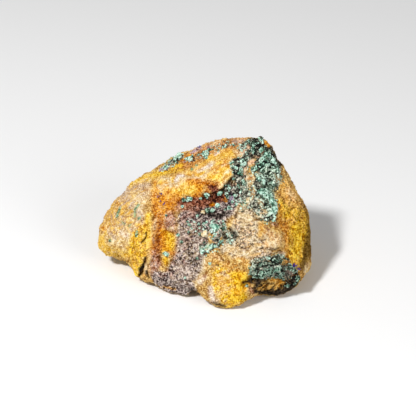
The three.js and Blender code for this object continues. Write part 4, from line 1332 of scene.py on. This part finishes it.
def strew(name, tree, surface, material, spacing, smallest, largest, sunk, seed, density, lift=0.0):
    """Strews bodies over a mesh, sizes in mm and density in bodies per square mm, as one new piece."""
    values = {
        "Spacing": spacing * MM, "Density": density / MM**2, "Smallest": smallest * MM,
        "Largest": largest * MM, "Sunk": sunk, "Lift": lift, "Seed": seed, "Material": material,
    }
    return made_by(placed(name, surface), tree, values)


# %% [markdown]
# ## The malachite crusts
# Each crust is a plaque on the skin, and its solid gives the place and the height. The copy here is
# rounded and made lumpy, and its rim is pressed into the rock. It takes the dark, earthy tones of the
# rock's stains, because it is what shows in the gaps, and painted shade makes it darker still, so that the
# gaps between the crumbs look deep. Its green is in the crumbs, about a millimetre across, that are strewn
# over a bed of the same shape. A bump could stand for them, but it would leave the outline smooth and
# the gaps shallow.
#
# Three lists say where the crumbs are missing or few. In a window the crust sinks away and bare rock
# shows, in a dark gap it is cut deep and darkened with painted shade, and where it is thin about half the
# crumbs are left.

# %% The green of the crumbs
# finish, how strong it is, soft edge in mm, and the route, with patches as in the stains.
CRUST_STAINS = [
    ("emerald", 0.8, 1.0, [(18, 27.6, 2.6), (23, 28, 2.4), (23.6, 24, 3)]),
    ("emerald", 0.7, 1.0, [(21, 18.6, 1.6), (29, 18, 1.8)]),
    ("turquoise", 0.5, 0.8, [(25, 22, 1.6), (28, 20.4, 1.4)]),
    ("turquoise", 0.7, 0.8, [(11.6, 18, 1.6), (14.4, 18, 1.2)]),
    ("celadon", 0.7, 1.0, [(26, 15.4, 2.4), (29.4, 12.4, 2)]),
    ("celadon", 0.9, 1.0, [(19, 13, 2.4), (18, 8, 3), (17, 3, 3)]),
    ("turquoise", 0.6, 0.8, [(22.4, 12, 1.4), (22.4, 7, 1.2), (24.6, 4, 1.2)]),
    ("celadon", 0.9, 1.0, [(22, 1, 3), (25, -2.4, 2.6)]),
    ("turquoise", 0.7, 0.7, [(27.4, 3.4, 1.2), (28.4, 0.4, 1.2), (26.4, -2.4, 0.8)]),
    ("turquoise", 1.0, 0.7, [(3, -6, 4), (3, -12, 3.4), (-2, -18, 3)]),
    ("celadon", 0.7, 0.8, [(7, -9, 2), (9, -14, 2)]),
    # The ledge lies in shade: its moss is partly painted shade, the celadon on its top edge a painted
    # highlight.
    ("moss", 0.85, 1.0, [(20, -25.5, 4), (26, -24, 6), (32, -25, 6), (37, -27.5, 4)]),
    ("celadon", 0.9, 0.4, [(20, -22, 0.8), (27, -21.5, 0.7), (33, -20.7, 0.7)]),
    ("celadon", 0.9, 0.5, [(19.4, -24, 1.1), (20, -27.6, 1.1)]),
    ("shade", 0.8, 0.8, [(20, -24, 2), (26, -26, 3), (32, -26.6, 3), (36.4, -28.6, 1.6)], 0.9, -25),
    ("celadon", 0.9, 0.4, [(24, -24.4, 0.4), (28, -25, 0.5), (33, -24.7, 0.4)]),
    ("mint", 0.9, 0.4, [(26, -26.4, 0.5), (30, -26.6, 0.5), (34.6, -28.6, 0.5)]),
    ("mint", 0.8, 0.4, [(22.6, -27.4, 0.6), (25.6, -28.4, 0.6)]),
    ("mint", 0.8, 0.4, [(29, -28.4, 0.5), (32.6, -29.6, 0.5)]),
]
print("strokes on the crusts:", len(CRUST_STAINS))

# %% Windows, thin places and dark gaps
# Their soft edges in mm. The dark gaps are cracks, so their edges are hardly ragged. They are cut deep
# and darkened with painted shade.
WINDOW_SOFT = 0.4
THIN_SOFT = 1.0
GAP_SOFT = 0.3
GAP_RAGGED = 0.35
WINDOWS = [
    [(21, 24.2, 0.6), (23.4, 23.6, 0.6)],
    [(20.8, 22.6, 0.9), (22.2, 21.8, 0.8)],
    [(17.2, 19, 0.9), (19.2, 19.8, 1.2)],
    [(16, 17.4, 0.7), (15, 14.4, 0.9)],
    [(17.2, 12.4, 0.8), (19.4, 12.4, 0.7)],
    [(12.4, 10.4, 0.5), (14, 10.8, 0.7)],
    [(20, 4.5, 0.6), (17, 1.2, 0.8)],
    [(30.4, 9.6, 1.2), (28.8, 7.4, 1.8), (29.4, 4.8, 1.2)],
    [(31, 16, 0.5), (32.4, 13.4, 0.5)],
    [(30.6, -22.6, 0.5)],
]
THIN = [
    [(19, 14, 1.6), (17.6, 8.6, 3), (15, 2, 4)],
    [(8, 7, 2.4), (12, 2, 2.4)],
    [(29, 14, 2.4)],
    [(22, 1, 2)],
    [(8, -10, 3), (10, -15, 2.4)],
    [(4.6, -11, 1.2), (3.4, -14, 1.6), (0.6, -15.6, 1.0)],
]
DARK_GAPS = [
    [(20.6, 27, 0.8), (23, 27.2, 1), (21.8, 25.6, 0.6)],
    [(25.4, 25.4, 0.8), (27, 26.2, 0.9), (27.8, 23.4, 0.9), (29.6, 20.6, 0.9), (31, 18.4, 0.8)],
    [(17.6, 23, 0.8), (19.4, 21.6, 1)],
    [(11.2, 20.6, 0.6), (14, 20.7, 0.6)],
    [(11.4, 15.8, 0.7), (13, 14, 0.9), (12, 10.4, 0.8)],
    [(15.6, 13.6, 0.6), (16.6, 15, 0.5)],
    [(20.8, 18, 0.7), (22.4, 17, 0.5)],
    [(24, 19.8, 0.6), (25.4, 19.2, 0.5)],
    [(27.2, 19, 0.6), (28.8, 18.2, 0.5)],
    [(21, 15.4, 0.6), (24.4, 15, 0.6)],
    [(26.2, 12.8, 0.8), (25, 11, 0.6)],
    [(20.8, 9.8, 0.5), (21.6, 8.6, 0.4)],
    [(23.6, 8.8, 0.7)],
    [(21.6, 6.4, 0.5)],
    [(24.8, 1.4, 0.7), (24.2, 3.4, 0.3)],
    [(22, 2.6, 0.5), (20.6, -0.8, 0.6)],
    [(27.6, -3.4, 0.5), (24, -4.6, 0.5), (20.6, -4.4, 0.4)],
    [(9.6, 7.6, 0.6), (10.6, 5.6, 0.8)],
    [(5.6, -10.8, 0.7), (7.6, -12.8, 0.9)],
    [(3.6, -10, 0.4), (5.2, -12, 0.5)],
    [(21, -23.4, 0.5), (25, -22.6, 0.5), (28.6, -23.2, 0.6)],
    [(23, -25.4, 0.5), (26.6, -24.8, 0.6), (31, -24, 0.5)],
    [(24.6, -29.6, 0.5), (27.6, -29.8, 0.5)],
    [(20.4, -30.2, 0.7), (22, -31, 0.6)],
    [(33, -30.4, 0.4), (35, -31.4, 0.6)],
    [(-15.4, 19.4, 0.5), (-12.6, 21.2, 0.4)],
]
print("windows:", len(WINDOWS), "thin places:", len(THIN), "dark gaps:", len(DARK_GAPS))

# %% Crust sizes
# Lengths and heights in mm. What stands this high over the rock, and faces the same way, is its top.
CRUST_TOP = (0.2, 0.8)
SAME_WAY = (-0.2, 0.4)
CRUST_CLUMP = 2.6
CRUST_LUMP = 0.7
CRUST_FLATTER = 0.35
RIM_HEIGHT = 0.7
RIM_SINK = 0.9
WINDOW_SINK = 0.5
GAP_DEPTH = 0.6
# Small windows of its own, from a noise of this length where it rises through these values.
HOLE_LENGTH = 3.0
HOLE_FROM = (0.26, 0.36)
# The share of the crumbs that is left where they lie thin, and how soon they cover the clumps.
THIN_COVER = 0.45
CLUMP_COVER = (-0.15, 0.35)
# The crumbs stop here, in mm up as they are seen, so that the crest keeps its sharp outline.
CREST = (29.4, 30.2)
# Where the clumps join up into one mass.
CLUMP_BIAS = {"malachite_ledge": 0.5, "malachite_slope": 0.3, "malachite_summit": 0.3}
# How the tones go up and down over the crumbs' bed and over the crust under it. The crust is painted
# darker as shade, so that it reads dark between the crumbs, and darker still in the dark gaps.
PATCH_LIFT = 0.32
GAP_SHADE_LIFT = -0.1
GAP_UNEVEN = 0.3
DARK_GAP_SHADE = 0.3


# %% Grow the crusts
def grown(node):
    """A crust, and the bed that its crumbs are strewn on."""
    piece = fine_copy(node, node + "_crust", levels=2)
    points = points_of(piece.data)
    normals = normals_of(piece.data)
    crust_skin = Skin(points, normals)
    found = [skin_tree.find_nearest(Vector(point)) for point in points]
    rock_point = np.array([list(hit[0]) for hit in found])
    rock_normal = np.array([list(hit[1]) for hit in found])
    height = np.sum((points - rock_point) * rock_normal, axis=1)
    same_way = smoothstep(*SAME_WAY, np.sum(normals * rock_normal, axis=1))
    top = smoothstep(*CRUST_TOP, height) * same_way

    holes = smoothstep(*HOLE_FROM, ripple(points, HOLE_LENGTH, 8) - 0.1 * crust_skin.ragged)
    window = np.maximum(crust_skin.covered(WINDOWS, WINDOW_SOFT), holes)
    dark = crust_skin.covered(DARK_GAPS, GAP_SOFT, GAP_RAGGED)
    thin = crust_skin.covered(THIN, THIN_SOFT)
    clumps = cobbles(points, CRUST_CLUMP, 3)
    lines = grooves(crust_skin)
    lumps = CRUST_LUMP * (clumps + ripple(points, 0.9, 4) + 0.6 * lines) - GAP_DEPTH * dark
    sink = RIM_SINK * (1 - smoothstep(0.0, RIM_HEIGHT, height)) + CRUST_FLATTER * np.clip(height, 0, None)
    sink += window * np.clip(height, 0, None) + WINDOW_SINK * window
    points = points + (top * (1 - window) * lumps)[:, None] * normals - sink[:, None] * rock_normal
    move_points(piece.data, points)

    bed = piece.data.copy()
    patches = PATCH_LIFT * (ripple(points, 1.6, 5) + lines)
    write_tones(bed, stained(crust_skin, "mint", CRUST_STAINS), patches)
    crumbed = (1 - window) * (1 - dark) * (1 - (1 - THIN_COVER) * thin)
    crumbed *= 1 - smoothstep(*CREST, crust_skin.spots[:, 1])
    clumps = clumps + CLUMP_BIAS.get(node, 0)
    write_number(bed, "cover", top * crumbed * smoothstep(*CLUMP_COVER, clumps + 0.7 * lines))
    # Painted shade on the crust, which shows between the crumbs, with an uneven tone over it.
    gap_lift_and_shade = GAP_SHADE_LIFT + GAP_UNEVEN * ripple(points, 2.2, 9) - DARK_GAP_SHADE * dark
    write_tones(piece.data, stained(crust_skin, "bed", STAINS), gap_lift_and_shade)
    piece.data.materials.append(malachite)
    piece.data.shade_smooth()
    return piece, bed


crusts = {}
crumb_beds = {}
for node in crust_nodes:
    crusts[node], crumb_beds[node] = grown(node)
print("crusts:", len(crusts), "triangles:", sum(2 * len(c.data.polygons) for c in crusts.values()))

# %% Crumbs on the crusts
CRUMB = dict(spacing=0.4, smallest=0.55, largest=1.3, sunk=0.05, density=14.0, lift=0.12)
FINE_CRUMB = CRUMB | dict(spacing=0.34, smallest=0.45, largest=0.95, lift=0.0)

crumb_pieces = {}
for seed, node in enumerate(crusts):
    sizes = FINE_CRUMB if node == "malachite_ledge" else CRUMB
    bed = crumb_beds[node]
    crumb_pieces[node] = strew(node + "_crumbs", crumb_tree, bed, malachite, seed=seed, **sizes)

# %% [markdown]
# ## Malachite dust
# A crust has no clean edge. Round each one, and in patches of its own, the malachite thins out to single
# crumbs on the bare rock. They are strewn over a copy of the skin that holds the malachite's own tones,
# thickly near the crusts and in a few places that are painted with the same brush as the stains. The
# windows and dark gaps stay clear of it.

# %% Patches of dust
# finish, how thick it lies, soft edge in mm, and the route.
DUST = [
    ("moss", 0.9, 0.5, [(19.4, 28, 0.8), (22.4, 28, 1.1)]),
    ("mint", 0.9, 0.5, [(18.6, 27, 0.7), (19.2, 25.4, 0.7)]),
    ("moss", 0.8, 0.6, [(17, 23, 0.8), (17.4, 21.6, 0.7)]),
    ("mint", 0.5, 0.9, [(13, 26.6, 1.2), (14.4, 25, 1)]),
    ("mint", 0.9, 0.6, [(25, 22.6, 1.3), (27.4, 20.8, 1.2)]),
    ("moss", 0.9, 0.9, [(21, 18.6, 1.4), (25, 18.6, 2), (28.6, 18, 1.2)]),
    ("mint", 0.7, 0.9, [(26.4, 15.6, 2), (29.4, 14, 1.4), (30.6, 10.4, 1)]),
    ("mint", 0.9, 0.8, [(22.6, 13, 2), (23.4, 8.4, 2.4), (24, 3.4, 2)]),
    ("mint", 0.9, 0.6, [(17.4, 16.4, 1), (19.4, 16, 1)]),
    ("mint", 0.9, 0.5, [(11.6, 18.6, 1.3), (14, 18.6, 1.2)]),
    ("mint", 0.5, 0.8, [(13.4, 15, 1.2), (13.6, 12.4, 1)]),
    ("mint", 0.6, 0.7, [(8.6, 8.6, 1), (10.4, 7, 0.8)]),
    ("mint", 0.8, 0.7, [(14, 7.6, 1.3), (16.6, 6.6, 1)]),
    ("mint", 0.4, 1.2, [(13, 3, 2), (16, 1, 2.4)]),
    ("mint", 0.8, 0.8, [(27.4, 3.4, 1.4), (28.4, 0.4, 1.2), (26, -2.4, 1)]),
    ("mint", 0.5, 1.0, [(22, -2.6, 1.4), (21, 1, 1.4)]),
    ("turquoise", 1.0, 0.6, [(1.8, -7, 1), (3.4, -9, 1.2)]),
    ("turquoise", 0.5, 0.8, [(3, -12, 1.2), (3.8, -14.4, 1)]),
    ("turquoise", 0.8, 0.6, [(2, -16, 0.9), (-1.4, -16.6, 1)]),
    ("mint", 0.5, 1.0, [(5.4, -7, 1), (7.6, -10, 1.6), (9, -14, 1.6)]),
    ("mint", 0.3, 1.4, [(-6, -7, 2.4), (-2, -8, 2)]),
    ("mint", 0.5, 0.8, [(10, -0.4, 0.8), (8.4, 4, 0.7)]),
    ("mint", 0.8, 0.6, [(20.4, -22.4, 0.9), (26, -21.4, 0.7), (32.4, -20.8, 0.8)]),
    ("mint", 0.8, 0.8, [(19.6, -24.6, 1), (20.4, -27, 1.1)]),
    ("moss", 0.9, 0.9, [(22, -28.6, 1.4), (30, -28, 1.4), (35.4, -29.6, 1.2)]),
    ("mint", 0.9, 0.4, [(33.4, -33, 0.5), (34.4, -32.6, 0.4)]),
    ("mint", 0.9, 0.4, [(36.4, -32.2, 0.4)]),
    ("mint", 0.9, 0.4, [(16.6, -33.2, 0.4)]),
    ("mint", 0.9, 0.4, [(37, -27.4, 0.8)]),
    ("mint", 0.9, 0.6, [(-18.4, 18, 0.6), (-14, 21.4, 0.7), (-11, 22.8, 0.6)]),
    ("mint", 0.9, 0.5, [(-9, 20.4, 0.5), (-6.4, 20.8, 0.5)]),
    ("mint", 0.9, 0.5, [(-4.6, 22.2, 0.5), (-3.2, 22.6, 0.4)]),
    ("mint", 0.9, 0.5, [(-2, 21, 0.6), (-0.8, 23, 1)]),
    ("mint", 0.9, 0.5, [(0, 25.2, 0.6), (3, 25.4, 0.7), (6, 26.8, 0.6)]),
    ("mint", 0.7, 0.5, [(8, 27.4, 0.7), (12, 26.8, 0.7)]),
    ("verdigris", 0.7, 0.3, [(-37.5, -0.2, 0.4), (-38.4, -2, 0.4), (-38.9, -4.2, 0.3)]),
    ("verdigris", 0.7, 0.3, [(-29.4, 1.4, 0.4), (-31.2, -0.6, 0.3), (-31.3, -3.6, 0.4)]),
    ("verdigris", 0.7, 0.3, [(-29.5, -4.6, 0.5)]),
    ("verdigris", 0.7, 0.3, [(-30.4, -10.2, 0.4), (-30.8, -12.2, 0.3)]),
    ("verdigris", 0.7, 0.3, [(-41.8, -13.8, 0.5)]),
    ("turquoise", 0.9, 0.3, [(-18.4, -19.5, 0.7), (-17.2, -19.8, 0.6)]),
]
print("patches of dust:", len(DUST))

# %% Strew the dust
DUST_GRAIN = dict(spacing=0.42, smallest=0.4, largest=1.1, sunk=0.0, density=7.0, lift=0.06)
# The fringe of a crust: how far it reaches in mm, from where it is full, how thick it lies and how ragged.
FRINGE_REACH = 1.3
FRINGE_FULL = 0.5
FRINGE_COVER = 0.4
FRINGE_RAGGED = 0.7
UNDER_CRUST = (0.1, 0.3)

dust_ground = matrix.data.copy()
for name in (*TONES, "lift"):
    dust_ground.attributes.remove(dust_ground.attributes[name])
write_tones(dust_ground, stained(skin, "mint", DUST))
dust_cover = np.max([share * skin.stroke(route, soft) for _, share, soft, route in DUST], axis=0)
to_crust = np.min([distances(skin_points, crust.data, FRINGE_REACH) for crust in crusts.values()], axis=0)
fringe = smoothstep(FRINGE_REACH, FRINGE_FULL, to_crust + FRINGE_RAGGED * skin.ragged)
fringe = FRINGE_COVER * (to_crust < FRINGE_REACH) * fringe
uncovered = smoothstep(*UNDER_CRUST, to_crust)
for route in DARK_GAPS + WINDOWS:
    uncovered *= 1 - skin.stroke(route, GAP_SOFT, GAP_RAGGED)
write_number(dust_ground, "cover", np.maximum(dust_cover, fringe) * uncovered)
dust = strew("malachite_dust", crumb_tree, dust_ground, malachite, seed=31, **DUST_GRAIN)

# %% [markdown]
# ## Loose balls
# Here and there one ball of malachite sits alone on the rock, like a blackberry made of smaller ones. A
# tree puts a crumb on every corner of a faceted, uneven ball, and a copy of that rosette, turned at
# random, on every spot it is given. The core is painted darker than the crumbs, as shade, so that the
# gaps show, and the crumbs on one side of each ball are painted lighter, as a highlight that turns with it.

# %% Rosette tree
# The core of a ball 1 across: its radius, which noise roughens it and how much, and how dark its painted
# shade is. Then the range of its crumbs in size and in tone, and how much lighter the higher ones are
# painted, a highlight that the random turn of the ball points any way.
CORE_RADIUS = 0.34
CORE_NUMBER = 5
CORE_NOISE = 2.2
CORE_ROUGHNESS = 0.7
CORE_SHADE_LIFT = -0.9
CRUMB_SIZES = (0.4, 1.7)
CRUMB_LUCK = (-0.7, 0.3)
HIGHER_IS_BRIGHTER = 0.3


def rosette_tree():
    """Balls of crumbs, about 1 across before they are sized, one on each point of a mesh."""
    tree, given = new_tree("rosettes", ("Crumb Size",))
    seed = given["Seed"]
    core = put(tree, "GeometryNodeMeshIcoSphere", {"Radius": CORE_RADIUS, "Subdivisions": 2}).outputs[0]
    core = roughened(tree, core, CORE_NUMBER, CORE_NOISE, CORE_ROUGHNESS)
    core = lifted(tree, core, CORE_SHADE_LIFT, "POINT")
    crumbs = put(
        tree, "GeometryNodeInstanceOnPoints",
        {
            "Points": core, "Instance": uneven_body(tree, "round", 0, 0.9),
            "Rotation": at_random(tree, "FLOAT_VECTOR", (0, 0, 0), FULL_TURN, seed),
            "Scale": maths(
                tree, "MULTIPLY", at_random(tree, "FLOAT", *CRUMB_SIZES, seed), given["Crumb Size"],
            ),
        },
    ).outputs[0]
    luck = at_random(tree, "FLOAT", *CRUMB_LUCK, seed)
    place = put(tree, "GeometryNodeInputPosition").outputs[0]
    height = put(tree, "ShaderNodeSeparateXYZ", {0: place}).outputs[2]
    crumbs = lifted(tree, crumbs, added(tree, (luck, 1.0), (height, HIGHER_IS_BRIGHTER)), "INSTANCE")
    rosette = put(tree, "GeometryNodeJoinGeometry")
    tree.links.new(core, rosette.inputs[0])
    tree.links.new(crumbs, rosette.inputs[0])
    whole = put(tree, "GeometryNodeGeometryToInstance", {0: rosette.outputs[0]}).outputs[0]
    copies = put(
        tree, "GeometryNodeInstanceOnPoints",
        {
            "Points": given["Geometry"], "Instance": whole, "Scale": named(tree, "size"),
            "Rotation": at_random(tree, "FLOAT_VECTOR", (0, 0, 0), FULL_TURN, seed),
        },
    ).outputs[0]
    end_tree(tree, copies, given["Material"], True)
    return tree


rosettes = rosette_tree()
print("rosette inputs:", [item.name for item in rosettes.interface.items_tree])

# %% Where the balls sit
# across, up and size in mm, and the finish.
BALLS = [
    (-10.2, 3.4, 1.7, "moss"), (-8.4, 3.8, 1.9, "mint"), (-7.2, 3.9, 1.5, "turquoise"),
    (-0.8, 5.9, 2.2, "mint"), (4.7, 6.4, 1.7, "turquoise"), (5.9, 6.8, 1.2, "mint"), (-3.2, 4, 1.1, "mint"),
    (4.6, 0.9, 2.0, "turquoise"), (9.4, -0.2, 1.6, "mint"), (8.4, 4.4, 1.3, "mint"),
    (0.3, -1.3, 1.9, "moss"), (2.2, -1.2, 1.8, "mint"), (-4.7, -3.5, 1.3, "mint"), (8.3, 7.6, 1.8, "mint"),
    (-7.9, -7.3, 1.3, "moss"), (-12.6, -11.4, 1.4, "mint"), (-11.3, -14.5, 1.3, "moss"),
    (-8.2, -10.2, 1.0, "moss"), (-3.4, -11.2, 1.4, "moss"), (-4.7, -21.4, 1.2, "moss"),
    (-9.6, -29.7, 1.0, "mint"), (0.9, -24, 1.2, "turquoise"), (-17.9, -3.2, 0.9, "mint"),
    (-17.6, -19.5, 1.6, "turquoise"), (-0.4, -6.1, 1.0, "turquoise"), (-3.8, -7.2, 1.1, "mint"),
    (-8.7, 20.7, 1.6, "mint"), (-6.8, 20.9, 1.7, "moss"), (-3.6, 22.2, 1.4, "moss"),
    (-1.1, 22.2, 1.9, "mint"), (-0.4, 21.2, 1.2, "turquoise"), (0, 22.4, 1.4, "mint"),
    (-6.7, 16.4, 0.9, "verdigris"), (-4.9, 17.9, 0.9, "verdigris"), (-10.8, 0.6, 1.2, "turquoise"),
    (16.6, -33.3, 1.3, "mint"), (33.7, -33, 1.3, "mint"), (36.8, -32, 1.2, "mint"),
    (10.9, 12.4, 1.2, "mint"), (11.6, 5, 1.4, "mint"), (13, 9.6, 1.3, "moss"), (6.6, -5.6, 1.1, "mint"),
    (10.6, 2.4, 1.3, "mint"), (12.4, 1.4, 1.2, "mint"), (7.4, -0.8, 1.0, "moss"),
]
PALE_BALLS = [(-1.8, -1.4, 1.9, "cream"), (-1.2, -11.2, 2.6, "cream")]
print("balls:", len(BALLS) + len(PALE_BALLS))

# %% Balls
# How far a ball is sunk in the rock and how large its crumbs are, as shares of its size.
BALL_SUNK = 0.12
BALL_CRUMB = 0.34


def loose_balls(name, balls, material, seed):
    """A piece of rosettes, one for each (across, up, size, finish)."""
    places = []
    for across, up, size, _ in balls:
        foot, facing = seat(across, up)
        places.append(foot + (0.5 - BALL_SUNK) * size * facing)
    spots = bpy.data.meshes.new(name)
    spots.from_pydata((np.array(places) * MM).tolist(), [], [])
    tones = [np.array([linear(FINISHES[finish][i]) for *_, finish in balls]) for i in range(len(TONES))]
    write_tones(spots, tones)
    spots.attributes.remove(spots.attributes["lift"])
    write_number(spots, "size", [size * MM for _, _, size, _ in balls])
    values = {"Crumb Size": BALL_CRUMB, "Seed": seed, "Material": material}
    return made_by(placed(name, spots), rosettes, values)


balls = loose_balls("malachite_balls", BALLS, malachite, 7)
pale_balls = loose_balls("pale_balls", PALE_BALLS, rock, 8)

# %% [markdown]
# ## Grains on the rock
# The rock is as rough as brown sugar. Real grains give it that: small uneven blocks, sunk in the skin,
# with flat faces that catch the light one by one. They are strewn in four pieces, two on the display
# side and two behind, so that none is too heavy. The flat break and the deep cracks stay free of them.

# %% Grains
# Lengths in mm. The pieces meet this far across, and the grains set in this high over the floor.
GRAIN = dict(spacing=0.34, smallest=0.2, largest=0.6, sunk=0.1, density=4.5)
FIRST_GRAIN_SEED = 41
SPLIT_AT = 6
GRAINS_FROM = (0.5, 2.0)

off_floor = smoothstep(*GRAINS_FROM, skin_points[:, 2]) * (1 - cut)
front = smoothstep(-0.05, 0.05, skin_normals @ to_eye)
right = smoothstep(-0.5, 0.5, skin_points[:, 0] - SPLIT_AT)
GRAIN_SIDES = {
    "grains_front_left": front * (1 - right),
    "grains_front_right": front * right,
    "grains_back_left": (1 - front) * (1 - right),
    "grains_back_right": (1 - front) * right,
}
grain_pieces = []
for seed, (name, side) in enumerate(GRAIN_SIDES.items(), start=FIRST_GRAIN_SEED):
    write_number(matrix.data, "cover", off_floor * side)
    grain_pieces.append(strew(name, grain_tree, matrix.data, rock, seed=seed, **GRAIN))
    matrix.data.attributes.remove(matrix.data.attributes["cover"])

# %% [markdown]
# ## Azurite
# Azurite grows as sheaves of flat blades. Each blade is a six-sided prism with a chisel tip. The blue
# is so deep that hardly any light comes through, so the material is an opaque, glossy one, clouded
# between ink blue and violet. A blade has few and flat faces, so it is quickest to give its corners by
# formula.


# %% Azurite material
def azurite_material():
    """Deep blue with violet clouds of about a millimetre."""
    material = bpy.data.materials.new("azurite_crystal")
    material.use_nodes = True
    tree = material.node_tree
    shader = tree.nodes["Principled BSDF"]
    place = put(tree, "ShaderNodeTexCoord").outputs["Object"]
    cloud = put(tree, "ShaderNodeTexNoise", {"Vector": place, "Scale": 1 / (0.8 * MM)}).outputs[0]
    ink = (*linear((34, 22, 120)), 1)
    violet = (*linear((98, 84, 200)), 1)
    colour = blended(tree, stepped(tree, cloud, 0.35, 0.7), ink, violet)
    tree.links.new(colour, shader.inputs["Base Color"])
    shader.inputs["Roughness"].default_value = 0.22
    shader.inputs["Specular IOR Level"].default_value = 0.7
    return material


azurite = azurite_material()
print("material:", azurite.name)

# %% One blade
BLADE_SIDES = 6
# The height of each ring of corners, as a share of the blade's length, and how wide it is there.
BLADE_RINGS = [(-0.3, 0.8), (0.0, 0.95), (0.72, 1.0), (0.92, 0.62)]
TIP_HALF = 0.22
TIP_LEAN = 0.97


def blade(length, width, thickness):
    """The points and faces of a six-sided blade with a chisel tip, standing on the origin."""
    turns = np.arange(BLADE_SIDES) * 2 * math.pi / BLADE_SIDES
    ring = np.column_stack([np.cos(turns) * width / 2, np.sin(turns) * thickness / 2])
    points = [(x * share, y * share, height * length) for height, share in BLADE_RINGS for x, y in ring]
    points += [(-TIP_HALF * width, 0, length), (TIP_HALF * width, 0, length * TIP_LEAN)]
    faces = [tuple(range(BLADE_SIDES))[::-1]]
    for level in range(len(BLADE_RINGS) - 1):
        for i in range(BLADE_SIDES):
            a = level * BLADE_SIDES + i
            b = level * BLADE_SIDES + (i + 1) % BLADE_SIDES
            faces.append((a, b, b + BLADE_SIDES, a + BLADE_SIDES))
    last = (len(BLADE_RINGS) - 1) * BLADE_SIDES
    left = len(BLADE_RINGS) * BLADE_SIDES
    right = left + 1
    faces += [
        (last, last + 1, right), (last + 1, last + 2, left, right), (last + 2, last + 3, left),
        (last + 3, last + 4, left), (last + 4, last + 5, right, left), (last + 5, last, right),
    ]
    return np.array(points), faces


print("faces of a blade:", len(blade(1.5, 0.7, 0.3)[1]))

# %% Sheaves
# How far the blades lean apart, and how far they stand from the middle as a share of their length.
LEAN = 0.45
SPREAD = 0.22


def sheaf(name, spots, seed):
    """A piece of blades, from (across, up, number of blades, length in mm) spots."""
    luck = np.random.default_rng(seed)
    points = []
    faces = []
    for across, up, count, length in spots:
        foot, facing = seat(across, up)
        for _ in range(count):
            tall = length * luck.uniform(0.6, 1.0)
            width = tall * luck.uniform(0.35, 0.55)
            thickness = tall * luck.uniform(0.15, 0.25)
            shape, shape_faces = blade(tall, width, thickness)
            way = facing + luck.normal(0, LEAN, 3)
            turn = Vector(way).to_track_quat("Z", "Y").to_matrix()
            spin = Euler((0, 0, luck.uniform(0, math.pi))).to_matrix()
            spread = luck.normal(0, SPREAD * length, 3)
            spread = spread - (spread @ facing) * facing
            faces += [tuple(v + len(points) for v in face) for face in shape_faces]
            points += (shape @ np.array(turn @ spin).T + foot + spread).tolist()
    mesh = bpy.data.meshes.new(name)
    mesh.from_pydata((np.array(points) * MM).tolist(), [], faces)
    move_points(mesh, points_of(mesh))
    mesh.materials.append(azurite)
    print(f"{name}: {len(faces)} faces")
    return placed(name, mesh)


# %% Azurite blades
AZURITE_SPOTS = {
    "azurite_ledge": [(35, -24, 9, 1.8), (36.6, -24.4, 7, 1.6), (38.4, -25.8, 5, 1.3), (34.2, -25, 4, 1.3)],
    "azurite_shelf": [(-21, 5, 4, 1.2), (-20, 6, 4, 1.2), (-20.4, 2.6, 3, 1), (-18.8, 1.4, 4, 1.1)],
    "azurite_brow": [(-18, 17, 4, 1.2), (-16.4, 17.8, 5, 1.2), (-3.6, 25.7, 4, 1.1), (0.6, 25.4, 3, 1)],
}
azurite_pieces = {}
for seed, (node, spots) in enumerate(AZURITE_SPOTS.items(), start=1):
    azurite_pieces[node] = sheaf(node + "_blades", spots, seed)

# %% [markdown]
# ## Floor and light
# The floor is a plain pale sheet. A lamp a little larger than the lump stands a metre away, to the upper
# left in front, and throws its shadow to the lower right. A wide, weaker one fills that shadow from the
# right, and a pale sky does the rest.

# %% Floor
# In metres.
FLOOR_HALF = 3.0


def floor_piece():
    """A square sheet at the height the lump rests on, sizes in metres."""
    half = FLOOR_HALF
    mesh = bpy.data.meshes.new("floor")
    corners = [(-half, -half, 0), (half, -half, 0), (half, half, 0), (-half, half, 0)]
    mesh.from_pydata(corners, [], [(0, 1, 2, 3)])
    material = bpy.data.materials.new("floor")
    material.use_nodes = True
    shader = material.node_tree.nodes["Principled BSDF"]
    shader.inputs["Base Color"].default_value = (0.86, 0.86, 0.86, 1)
    shader.inputs["Roughness"].default_value = 0.8
    mesh.materials.append(material)
    return placed("floor", mesh)


floor = floor_piece()
print("floor:", 2 * FLOOR_HALF, "m wide")


# %% Light
def lamp(name, way, distance, size, power):
    """A square lamp, distance and size in metres and power in watts, turned to the lump."""
    data = bpy.data.lights.new(name, "AREA")
    data.size = size
    data.energy = power
    made = bpy.data.objects.new(name, data)
    made.location = Vector(VIEW_MIDDLE * MM) + Vector(way).normalized() * distance
    made.rotation_euler = Vector(way).to_track_quat("Z", "Y").to_euler()
    bpy.context.scene.collection.objects.link(made)
    print(f"{name}: {size} m wide, {power} W")


lamp("key", way=(-0.7, -0.75, 1.25), distance=1.0, size=0.12, power=10.0)
lamp("fill", way=(1.0, -1.0, 0.6), distance=1.4, size=0.8, power=8)

# %% Sky
SKY_STRENGTH = 0.26

world = bpy.data.worlds.new("sky")
world.use_nodes = True
world.node_tree.nodes["Background"].inputs[0].default_value = (1, 1, 1, 1)
world.node_tree.nodes["Background"].inputs[1].default_value = SKY_STRENGTH
bpy.context.scene.world = world
bpy.context.scene.view_settings.view_transform = "Standard"
print("sky strength:", SKY_STRENGTH)

# %% [markdown]
# ## Hand over
# Every piece rides on the one body that there is, and the solid it stands for is hidden. The dust and the
# loose balls stand for none: they are too small to have a solid.

# %% Hand over
for piece in [matrix] + grain_pieces:
    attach(piece, "root")
    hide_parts("matrix")
for node, crust in crusts.items():
    for piece in (crust, crumb_pieces[node]):
        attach(piece, "root")
        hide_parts(node)
for piece in (dust, balls):
    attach(piece, "root")
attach(pale_balls, "root")
for node, piece in azurite_pieces.items():
    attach(piece, "root")
    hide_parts(node)
